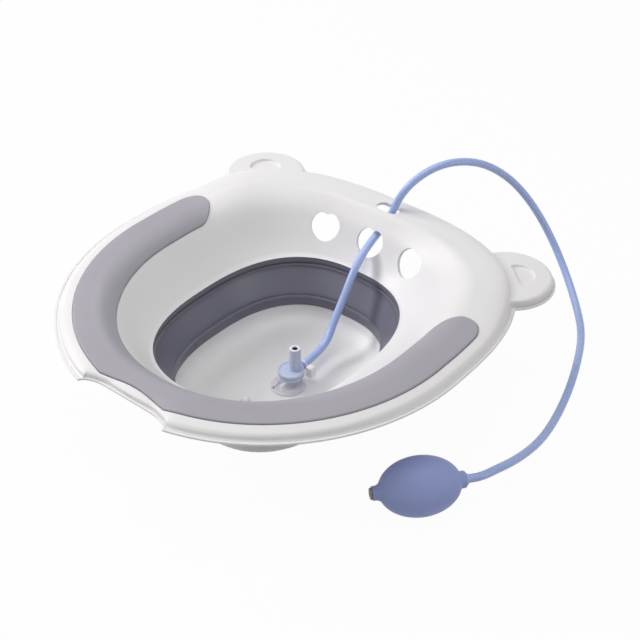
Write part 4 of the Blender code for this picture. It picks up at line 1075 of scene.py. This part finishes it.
def make_seat_pad(material):
    inner, outer = pad_limits(0.0)
    half = (outer - inner) / 2
    rounding = PAD_EDGE_ROUNDING / half
    edge = [(1, PAD_EDGE_PROUD)]
    for step in range(1, PAD_EDGE_STEPS + 1):
        turn = math.pi / 2 * step / PAD_EDGE_STEPS
        lift = PAD_EDGE_PROUD + (PAD_PROUD - PAD_EDGE_PROUD) * math.sin(turn)
        edge.append((1 - rounding * (1 - math.cos(turn)), lift))
    top = np.linspace(PAD_TOP_SHARE, -PAD_TOP_SHARE, PAD_TOP_COLUMNS)
    stations = [(share, -PAD_DEPTH) for share in np.linspace(-1, 1, PAD_COLUMNS)] + edge
    stations.extend((share, PAD_PROUD) for share in top)
    stations.extend((-share, lift) for share, lift in reversed(edge))
    pad = link_piece(loft("seat_pad_skin", pad_sections(stations, 0), close_along=False), material)
    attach(pad, "rim")
    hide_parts("seat_pad")


def fold_section(angle):
    top = fold_radius(angle, 1.0)
    foot = fold_radius(angle, 0.0)
    middle = fold_radius(angle, 0.5)
    inside = [(top + BAND_SETBACK, FOLD_TOP_Z - CLEARANCE)]
    for inward, upward in UPPER_RIDGE_SHARES:
        inside.append((top - inward * RIDGE_PROUD, UPPER_RIDGE_Z + upward * RIDGE_HEIGHT))
    inside_drop = LOWER_RIDGE_Z + 2 * RIDGE_HEIGHT - UPPER_RIDGE_Z
    for row in range(1, FOLD_ROWS):
        share = row / FOLD_ROWS
        radius = top + (foot - top) * share if row != FOLD_ROWS / 2 else middle
        inside.append((radius, UPPER_RIDGE_Z - RIDGE_HEIGHT + share * inside_drop))
    for inward, upward in LOWER_RIDGE_SHARES:
        inside.append((foot - inward * RIDGE_PROUD, LOWER_RIDGE_Z + upward * RIDGE_HEIGHT))
    inside.append((foot + BAND_SETBACK, FOLD_FOOT_Z + CLEARANCE))
    low = LOWER_RIDGE_Z + RIDGE_HEIGHT + FOLD_WEB
    high = UPPER_RIDGE_Z - RIDGE_HEIGHT - FOLD_WEB
    outside = [
        (foot + FOLD_THICKNESS, FOLD_FOOT_Z + CLEARANCE),
        (foot + FOLD_THICKNESS, LOWER_RIDGE_Z),
        (foot + COLLAR_OUT, LOWER_RIDGE_Z),
        (foot + COLLAR_OUT, LOWER_RIDGE_Z + RIDGE_HEIGHT),
    ]
    span = top + FOLD_WEB - foot - FOLD_THICKNESS
    for row in range(FOLD_ROWS + 1):
        share = row / FOLD_ROWS
        outside.append((foot + FOLD_THICKNESS + span * share, low + (high - low) * share))
    outside.extend((
        (top + COLLAR_OUT, UPPER_RIDGE_Z - RIDGE_HEIGHT),
        (top + COLLAR_OUT, UPPER_RIDGE_Z),
        (top + FOLD_THICKNESS, UPPER_RIDGE_Z),
        (top + FOLD_THICKNESS, FOLD_TOP_Z - CLEARANCE),
    ))
    return place(angle, inside + outside)


def make_folding_wall(material):
    sections = [fold_section(angle) for angle in fine_angles(PLAIN_SHARES)]
    wall = link_piece(loft("folding_wall_skin", sections, sharp=FOLD_SHARP_ANGLE), material)
    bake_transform(wall)
    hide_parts("folding_wall")


def bowl_section(angle):
    wall = fold_radius(angle, 0.0)
    rabbet = wall + FOLD_THICKNESS + CLEARANCE
    outside = rabbet + BOWL_WALL
    depth = BOWL_WALL_TOP - FLOOR_TOP
    inside = [(share * wall, FLOOR_TOP + rise * depth) for share, rise in BOWL_INSIDE_SHARES]
    line = [(0, FLOOR_TOP), (FLOOR_MIDDLE_SHARE * wall, FLOOR_TOP)]
    line.extend(tuple(point) for point in hermite(inside, 4))
    lower_side, corner, outer_foot, inner_foot = (share * wall for share in BOWL_OUTSIDE_SHARES)
    line.extend((
        (rabbet, BOWL_WALL_TOP),
        (rabbet, LOWER_RIDGE_Z - CLEARANCE),
        (outside, LOWER_RIDGE_Z - CLEARANCE),
    ))
    under = (
        (outside, BOWL_WALL_TOP),
        ((outside + wall) / 2, BOWL_WALL_TOP / 2),
        (lower_side, BOWL_WALL_TOP / 5),
        (corner, FOOT_RECESS / 2),
        (outer_foot, 0),
    )
    line.extend(tuple(point) for point in hermite(under, 3))
    line.extend((
        (inner_foot, 0),
        (inner_foot - FOOT_RECESS, FOOT_RECESS),
        (GATE_BOSS_RADIUS + GATE_BOSS_DRAFT, FOOT_RECESS),
        (GATE_BOSS_RADIUS, 0),
        (0, 0),
    ))
    return place(angle, line)


def make_lower_bowl(material):
    sections = [bowl_section(angle) for angle in fine_angles(PLAIN_SHARES)]
    mesh = loft("lower_bowl_body", sections, close_across=False)
    bowl = link_piece(mesh, material)
    stud_top = FLOOR_TOP + STUD_HEIGHT
    foot_z = FLOOR_TOP - FOOT_RECESS / 2
    profile = [(0, stud_top)]
    for step in range(1, STUD_CROWN_STEPS + 1):
        turn = math.pi / 2 * step / STUD_CROWN_STEPS
        drop = STUD_CROWN * 2 * (1 - math.cos(turn))
        profile.append((STUD_RADIUS * math.sin(turn), stud_top - drop))
    profile.extend(((STUD_RADIUS, foot_z), (0, foot_z)))
    stud = link_piece(turned("stud_tool", profile, STUD_STEPS), None, (0, -STUD_SETBACK, 0))
    combine(bowl, ("UNION", stud))
    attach(bowl, "bowl")
    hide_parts("lower_bowl")


# Nozzle, cup and tie

def plan_point(reach, turn):
    """The place on the floor plane at a reach and a turn from the nozzle's middle."""
    angle = math.radians(turn)
    return Vector((NOZZLE_X + reach * math.cos(angle), NOZZLE_Y + reach * math.sin(angle), 0))


def cylinder_tool(name, radius, bottom, top, steps, location, rotation=(0, 0, 0), rounding=0):
    profile = [(0, top), (radius, top), (radius, bottom), (0, bottom)]
    if rounding:
        profile = round_profile(profile, {1: rounding})
    return link_piece(turned(name, profile, steps), None, location, rotation)


def paint_near(piece, material, start, end, reach):
    """Give another material to the faces whose middles lie within reach of a line, here a painted
    highlight.
    """
    piece.data.materials.append(material)
    last = len(piece.data.materials) - 1
    along = end - start
    for face in piece.data.polygons:
        share = min(max((face.center - start).dot(along) / along.length_squared, 0.0), 1.0)
        if (face.center - start - share * along).length < reach:
            face.material_index = last


def paint_bore_shade(piece, material, middle, radius, below):
    """Give another material to the faces within a radius of an upright line, up to a height, here
    the dark painted shade inside a bore.
    """
    piece.data.materials.append(material)
    last = len(piece.data.materials) - 1
    for face in piece.data.polygons:
        aside = math.hypot(face.center.x - middle.x, face.center.y - middle.y)
        if aside < radius and face.center.z < below:
            face.material_index = last


def make_rib(start, end):
    """The low rib that climbs the cup beside the tab's hole."""
    along = end - start
    size = (along.length, RIB_WIDTH, RIB_HEIGHT)
    rib = rounded_block("rib_tool", size, RIB_ROUNDING, 2, (start + end) / 2)
    rib.rotation_euler = along.to_track_quat("X", "Z").to_euler()
    return rib


def make_suction_cup(material, bore_shade_material, painted_highlight_material):
    foot = FLOOR_TOP + CLEARANCE
    crown = foot + CUP_HEIGHT
    stem_top = DISC_FOOT_HEIGHT + CUP_STEM_GRIP
    outside = (
        (CUP_STEM_RADIUS, crown + CUP_HEIGHT / 3),
        (CUP_STEM_RADIUS * 1.5, crown),
        (CUP_RADIUS * 0.62, foot + CUP_HEIGHT * CUP_HIGH_SHARE),
        (CUP_RADIUS * 0.86, foot + CUP_HEIGHT * CUP_LOW_SHARE),
        (CUP_RADIUS, foot + CUP_SKIN * 0.6),
    )
    inside = (
        (CUP_RADIUS - CUP_SKIN, foot),
        (CUP_RADIUS * 0.80, foot + CUP_HEIGHT * CUP_LOW_SHARE - CUP_SKIN),
        (CUP_RADIUS * 0.55, foot + CUP_HEIGHT * CUP_HIGH_SHARE - CUP_SKIN),
        (0, crown - CUP_SKIN * 2),
    )
    profile = [(0, stem_top), (CUP_STEM_RADIUS, stem_top)]
    profile.extend(tuple(point) for point in hermite(outside, 4))
    profile.append((CUP_RADIUS, foot))
    profile.extend(tuple(point) for point in hermite(inside, 3))
    middle = Vector((NOZZLE_X, NOZZLE_Y, 0))
    cup = link_piece(turned("suction_cup_skin", profile, CUP_STEPS), material, middle)
    tab_top = foot + CUP_SKIN
    tab_place = plan_point(TAB_OFFSET, TAB_TURN)
    tab = cylinder_tool(
        "tab_tool", TAB_RADIUS, foot, tab_top, CUP_STEPS, tab_place, rounding=TAB_ROUNDING,
    )
    low, high = foot - OVERRUN, foot + OVERRUN
    core = cylinder_tool("core_tool", CUP_RADIUS - CUP_SKIN * 1.5, low, high, CUP_STEPS, middle)
    hole_place = plan_point(TAB_HOLE_REACH, TAB_HOLE_TURN)
    hole = cylinder_tool("hole_tool", TAB_HOLE_RADIUS, low, high, HOLE_STEPS, hole_place)
    boss_top = tab_top + TAB_BOSS_HEIGHT
    boss_foot = foot + CUP_SKIN / 2
    boss = cylinder_tool(
        "boss_tool", TAB_BOSS_RADIUS, boss_foot, boss_top, BOSS_STEPS, hole_place,
        rounding=TAB_BOSS_ROUNDING,
    )
    combine(tab, ("DIFFERENCE", core), ("UNION", boss))
    rib_start = plan_point(RIB_START_REACH, RIB_START_TURN) + Vector((0, 0, foot + CUP_SKIN * 1.3))
    rib_end = plan_point(RIB_END_REACH, RIB_END_TURN) + Vector((0, 0, foot + CUP_SKIN * 3.3))
    combine(tab, ("UNION", make_rib(rib_start, rib_end)))
    combine(cup, ("UNION", tab), ("DIFFERENCE", hole))
    bore_radius = TAB_HOLE_RADIUS * 1.05
    # Painted shade inside the tab's hole.
    paint_bore_shade(cup, bore_shade_material, hole_place - middle, bore_radius, boss_top - 0.0001)
    # Painted highlight along the cup's rib.
    paint_near(cup, painted_highlight_material, rib_start - middle, rib_end - middle, RIB_HIGHLIGHT_REACH)
    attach(cup, "bowl")
    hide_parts("suction_cup")


def make_nozzle(material, bore_shade_material, painted_highlight_material):
    groove_z = DISC_FOOT_HEIGHT + DISC_THICKNESS / 2
    socket = CUP_STEM_RADIUS + CLEARANCE
    socket_top = DISC_FOOT_HEIGHT + CUP_STEM_GRIP + CLEARANCE
    ring = DISC_RADIUS - DISC_RING_WIDTH
    profile = [
        (0, DISC_TOP_Z - DISC_DISH_DEPTH),
        (ring - DISC_GROOVE, DISC_TOP_Z - DISC_DISH_DEPTH),
        (ring, DISC_TOP_Z),
        (DISC_RADIUS, DISC_TOP_Z),
        (DISC_RADIUS, groove_z + DISC_GROOVE),
        (DISC_RADIUS - DISC_GROOVE_DEPTH, groove_z + DISC_GROOVE * 0.9),
        (DISC_RADIUS - DISC_GROOVE_DEPTH, groove_z - DISC_GROOVE * 0.2),
        (DISC_RADIUS - DISC_GROOVE * 0.5, groove_z - DISC_GROOVE * 0.6),
        (DISC_RADIUS - DISC_GROOVE * 0.5, DISC_FOOT_HEIGHT),
        (socket, DISC_FOOT_HEIGHT),
        (socket, socket_top),
        (0, socket_top),
    ]
    rounds = {1: 0.0004, 2: 0.0003, 3: 0.0006, 4: 0.0003, 7: 0.0003, 8: 0.0009}
    mesh = turned("nozzle_body_shape", round_profile(profile, rounds), NOZZLE_STEPS)
    body = link_piece(mesh, material, (NOZZLE_X, NOZZLE_Y, 0))
    spout_place = Vector((NOZZLE_X + SPOUT_OFFSET_X, NOZZLE_Y + SPOUT_OFFSET_Y, 0))
    spout_top = DISC_TOP_Z + SPOUT_LENGTH
    spout_foot = DISC_TOP_Z - DISC_GROOVE * 2
    mouth_radius = SPOUT_RADIUS - SPOUT_DRAFT
    spout_profile = [
        (0, spout_top),
        (mouth_radius, spout_top),
        (SPOUT_RADIUS, spout_foot),
        (0, spout_foot),
    ]
    spout_profile = round_profile(spout_profile, {1: 0.0006})
    spout = link_piece(turned("spout_tool", spout_profile, SMALL_STEPS), None, spout_place)
    along_y = (-math.pi / 2, 0, 0)
    barb_place = spout_place + Vector((0, 0, BARB_HEIGHT))
    barb = cylinder_tool(
        "barb_tool", BARB_RADIUS, BARB_RADIUS, BARB_REACH - SPOUT_OFFSET_Y, BOSS_STEPS,
        barb_place, along_y, BARB_ROUNDING,
    )
    flare = SPOUT_BORE + SPOUT_FLARE
    bore_profile = [
        (0, spout_top + OVERRUN),
        (flare, spout_top + OVERRUN),
        (flare, spout_top - 0.0002),
        (SPOUT_BORE, spout_top - 0.0009),
        (SPOUT_BORE, BARB_HEIGHT),
        (0, BARB_HEIGHT),
    ]
    bore = link_piece(turned("bore_tool", bore_profile, BORE_STEPS), None, spout_place)
    channel = cylinder_tool(
        "channel_tool", BARB_BORE, 0, BARB_REACH + OVERRUN, HOLE_STEPS, barb_place, along_y,
    )
    combine(body, ("UNION", spout), ("UNION", barb), ("DIFFERENCE", bore), ("DIFFERENCE", channel))
    spout_middle = Vector((SPOUT_OFFSET_X, SPOUT_OFFSET_Y, 0))
    # Painted shade down the spout's bore.
    paint_bore_shade(body, bore_shade_material, spout_middle, SPOUT_BORE * 1.02, spout_top - 0.0010)
    rim = spout_middle + Vector((0, 0, spout_top))
    # Painted highlight on the spout's rim.
    paint_near(body, painted_highlight_material, rim, rim + Vector((0, 0, 0.0001)), mouth_radius)
    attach(body, "bowl")
    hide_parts("nozzle_body")


def make_cable_tie(material):
    inner = HOSE_RADIUS + CLEARANCE
    outer = inner + TIE_BAND * TIE_BAND_SHARE
    half = TIE_WIDTH * TIE_HALF_SHARE
    profile = [(outer, half), (outer, -half), (inner, -half), (inner, half)]
    profile = round_profile(profile, {0: 0.0002, 1: 0.0002}, True)
    tie_x = NOZZLE_X + SPOUT_OFFSET_X
    tie_y = NOZZLE_Y + BARB_REACH + CLEARANCE + TIE_PLACE
    mesh = turned("cable_tie_band", profile, SMALL_STEPS)
    tie = link_piece(mesh, material, (tie_x, tie_y, BARB_HEIGHT), (-math.pi / 2, 0, 0))
    size = (TIE_HEAD_WIDTH, TIE_HEAD_DEPTH, TIE_HEAD_HEIGHT)
    head_place = (tie_x + TIE_HEAD_SIDE, tie_y + TIE_HEAD_BACK, BARB_HEIGHT - TIE_HEAD_DROP)
    combine(tie, ("UNION", rounded_block("head_tool", size, TIE_HEAD_ROUNDING, 5, head_place)))
    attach(tie, "bowl")
    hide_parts("cable_tie")


# Hose and bulb

def hose_end_point():
    turn = math.radians(BULB_TURN)
    reach = OUTLET_REACH + CLEARANCE + VALVE_FLANGE + CLEARANCE
    along = Vector((math.cos(turn), math.sin(turn), 0))
    return Vector((BULB_X, BULB_Y, BULB_RADIUS)) + reach * along, along


def hose_points(step):
    """A natural cubic curve through the route, read at even steps, with straight ends."""
    start = Vector((NOZZLE_X + SPOUT_OFFSET_X, NOZZLE_Y + BARB_REACH + CLEARANCE, BARB_HEIGHT))
    end, along = hose_end_point()
    straight = 2 * HOSE_RADIUS
    knots = [start, start + Vector((0, straight, 0))]
    knots.extend(Vector(point) for point in HOSE_ROUTE)
    knots.extend((end + along * straight, end))
    knots = np.array([tuple(knot) for knot in knots])
    spans = np.linalg.norm(np.diff(knots, axis=0), axis=1)
    place_along = np.concatenate(((0,), np.cumsum(spans)))
    count = len(knots)
    system = np.zeros((count, count))
    bend = np.zeros((count, 3))
    system[0, 0] = 1
    system[-1, -1] = 1
    for index in range(1, count - 1):
        before = spans[index - 1]
        after = spans[index]
        system[index, index - 1: index + 2] = (before, 2 * (before + after), after)
        slope_after = (knots[index + 1] - knots[index]) / after
        slope_before = (knots[index] - knots[index - 1]) / before
        bend[index] = 6 * (slope_after - slope_before)
    bend = np.linalg.solve(system, bend)
    steps = round(place_along[-2] / step)
    points = [knots[0]]
    for place_now in np.linspace(place_along[1], place_along[-2], steps):
        index = min(max(int(np.searchsorted(place_along, place_now)) - 1, 0), count - 2)
        span = spans[index]
        ahead = place_along[index + 1] - place_now
        behind = place_now - place_along[index]
        point = (bend[index] * ahead ** 3 + bend[index + 1] * behind ** 3) / (6 * span)
        point += (knots[index] / span - bend[index] * span / 6) * ahead
        point += (knots[index + 1] / span - bend[index + 1] * span / 6) * behind
        points.append(point)
    points.append(knots[-1])
    return points


def make_hose(material):
    points = hose_points(HOSE_POINT_STEP)
    curve = bpy.data.curves.new("hose_guide", "CURVE")
    curve.dimensions = "3D"
    curve.bevel_depth = HOSE_RADIUS
    curve.bevel_resolution = 8
    curve.use_fill_caps = True
    spline = curve.splines.new("POLY")
    spline.points.add(len(points) - 1)
    for point, (x, y, z) in zip(spline.points, points):
        point.co = (x, y, z, 1)
    guide = bpy.data.objects.new("hose_guide", curve)
    bpy.context.scene.collection.objects.link(guide)
    bpy.context.view_layer.update()
    evaluated = guide.evaluated_get(bpy.context.evaluated_depsgraph_get())
    mesh = bpy.data.meshes.new_from_object(evaluated)
    bpy.data.objects.remove(guide)
    mesh.name = "hose_tube"
    mesh.materials.clear()
    shade(mesh, HOSE_SHARP_ANGLE)
    hose = link_piece(mesh, material)
    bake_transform(hose)
    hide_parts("hose")


def place_on_bulb(piece):
    """Lay a piece that was turned about the Z axis along the bulb's axis."""
    piece.location = (BULB_X, BULB_Y, BULB_RADIUS)
    piece.rotation_euler = (0, math.pi / 2, math.radians(BULB_TURN))
    bpy.context.view_layer.update()
    piece.data.transform(piece.matrix_world)
    piece.location = (0, 0, 0)
    piece.rotation_euler = (0, 0, 0)


def oval_points(half_length, radius, turns, count):
    """Radii and heights of an oval between two turns, which count from its top."""
    points = []
    for turn in np.linspace(*turns, count):
        angle = math.radians(turn)
        points.append((radius * math.sin(angle), half_length * math.cos(angle)))
    return points


def make_bulb(material):
    collar_back = BULB_HALF_LENGTH + NECK_EDGE
    outlet = [
        (NECK_BORE, OUTLET_REACH),
        (OUTLET_NECK_RADIUS, OUTLET_REACH),
        (OUTLET_NECK_RADIUS, collar_back - NECK_EDGE * 2.2),
        (OUTLET_NECK_RADIUS + NECK_EDGE * 3, BULB_HALF_LENGTH * 0.90),
    ]
    outlet = round_profile(outlet, {1: 0.0016, 2: 0.0006})[:-1]
    body = oval_points(BULB_HALF_LENGTH, BULB_RADIUS, BULB_OUTSIDE_TURNS, BULB_OUTSIDE_POINTS)
    inlet = hermite((
        (INLET_NECK_RADIUS + NECK_EDGE * 1.3, -BULB_HALF_LENGTH * 0.975),
        (INLET_NECK_RADIUS + NECK_EDGE * 0.2, -BULB_HALF_LENGTH - NECK_EDGE * 1.4),
        (INLET_NECK_RADIUS, -INLET_REACH + NECK_EDGE * 1.6),
    ), 4)
    lip = round_profile([
        (INLET_NECK_RADIUS, -INLET_REACH + NECK_EDGE * 1.5),
        (INLET_NECK_RADIUS, -INLET_REACH),
        (NECK_BORE, -INLET_REACH),
    ], {1: 0.0007})
    inner_half = BULB_HALF_LENGTH - BULB_WALL
    inner_radius = BULB_RADIUS - BULB_WALL
    bore_end = inner_half * BULB_BORE_SHARE
    inner = oval_points(inner_half, inner_radius, BULB_INSIDE_TURNS, BULB_INSIDE_POINTS)
    inner = [(NECK_BORE, -bore_end)] + inner + [(NECK_BORE, bore_end)]
    profile = outlet + body + [tuple(point) for point in inlet] + lip[1:] + inner
    bulb = link_piece(turned("squeeze_bulb_skin", profile, BULB_STEPS), material)
    place_on_bulb(bulb)
    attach(bulb, "bowl")
    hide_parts("squeeze_bulb")


def make_valve(name, foot_z, flange_outside, material):
    radius = NECK_BORE - CLEARANCE
    seat_foot = VALVE_FLANGE + VALVE_PORT
    chamber_foot = seat_foot + VALVE_SEAT_DEPTH
    lip_foot = VALVE_LENGTH - VALVE_LIP_LENGTH
    if flange_outside:
        outer = [
            (radius, VALVE_LENGTH),
            (radius, VALVE_FLANGE),
            (VALVE_FLANGE_RADIUS, VALVE_FLANGE),
            (VALVE_FLANGE_RADIUS, 0),
        ]
        rounds = {2: 0.0002, 3: 0.0004, 4: 0.0003}
    else:
        shoulder = VALVE_LENGTH - VALVE_FLANGE
        outer = [
            (VALVE_FLANGE_RADIUS, VALVE_LENGTH),
            (VALVE_FLANGE_RADIUS, shoulder),
            (radius, shoulder),
            (radius, 0),
        ]
        rounds = {0: 0.0003, 1: 0.0002}
    inner = [
        (VALVE_PORT, 0),
        (VALVE_PORT, seat_foot),
        (VALVE_CHAMBER, chamber_foot),
        (VALVE_CHAMBER, lip_foot),
        (VALVE_LIP, lip_foot),
        (VALVE_LIP, VALVE_LENGTH),
    ]
    profile = [(r, z + foot_z) for r, z in round_profile(outer + inner, rounds, True)]
    valve = link_piece(turned(name + "_shape", profile, SMALL_STEPS), material)
    place_on_bulb(valve)
    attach(valve, "bowl")
    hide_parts(name)


def dress_nodes(looks):
    """Give every carried-over solid the material of its kind."""
    kinds = {
        "upper_shell": "white", "seat_pad": "pad", "folding_wall": "fold", "lower_bowl": "white",
        "suction_cup": "vinyl", "nozzle_body": "nozzle", "cable_tie": "nylon", "hose": "hose",
        "squeeze_bulb": "bulb", "inlet_valve_body": "valve", "outlet_valve_body": "nozzle",
        "inlet_valve_ball": "steel", "outlet_valve_ball": "steel",
    }
    for name, kind in kinds.items():
        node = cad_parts[name]
        if not node.material_slots:
            node.data.materials.append(looks[kind])
        for slot in node.material_slots:
            slot.material = looks[kind]


def build():
    bpy.context.scene.view_settings.view_transform = "Standard"
    make_camera()
    make_world()
    make_floor()
    make_lights()
    looks = {kind: make_material(*look) for kind, look in LOOKS.items()}
    dress_nodes(looks)
    make_hose(looks["hose"])
    make_upper_shell(looks["white"])
    make_seat_pad(looks["pad"])
    make_folding_wall(looks["fold"])
    make_lower_bowl(looks["white"])
    make_suction_cup(looks["vinyl"], looks["bore"], looks["edge"])
    make_nozzle(looks["nozzle"], looks["bore"], looks["edge"])
    make_cable_tie(looks["nylon"])
    make_bulb(looks["bulb"])
    inlet_foot = -INLET_REACH - CLEARANCE - VALVE_FLANGE
    outlet_foot = OUTLET_REACH + CLEARANCE + VALVE_FLANGE - VALVE_LENGTH
    make_valve("inlet_valve_body", inlet_foot, True, looks["valve"])
    make_valve("outlet_valve_body", outlet_foot, False, looks["nozzle"])


build()
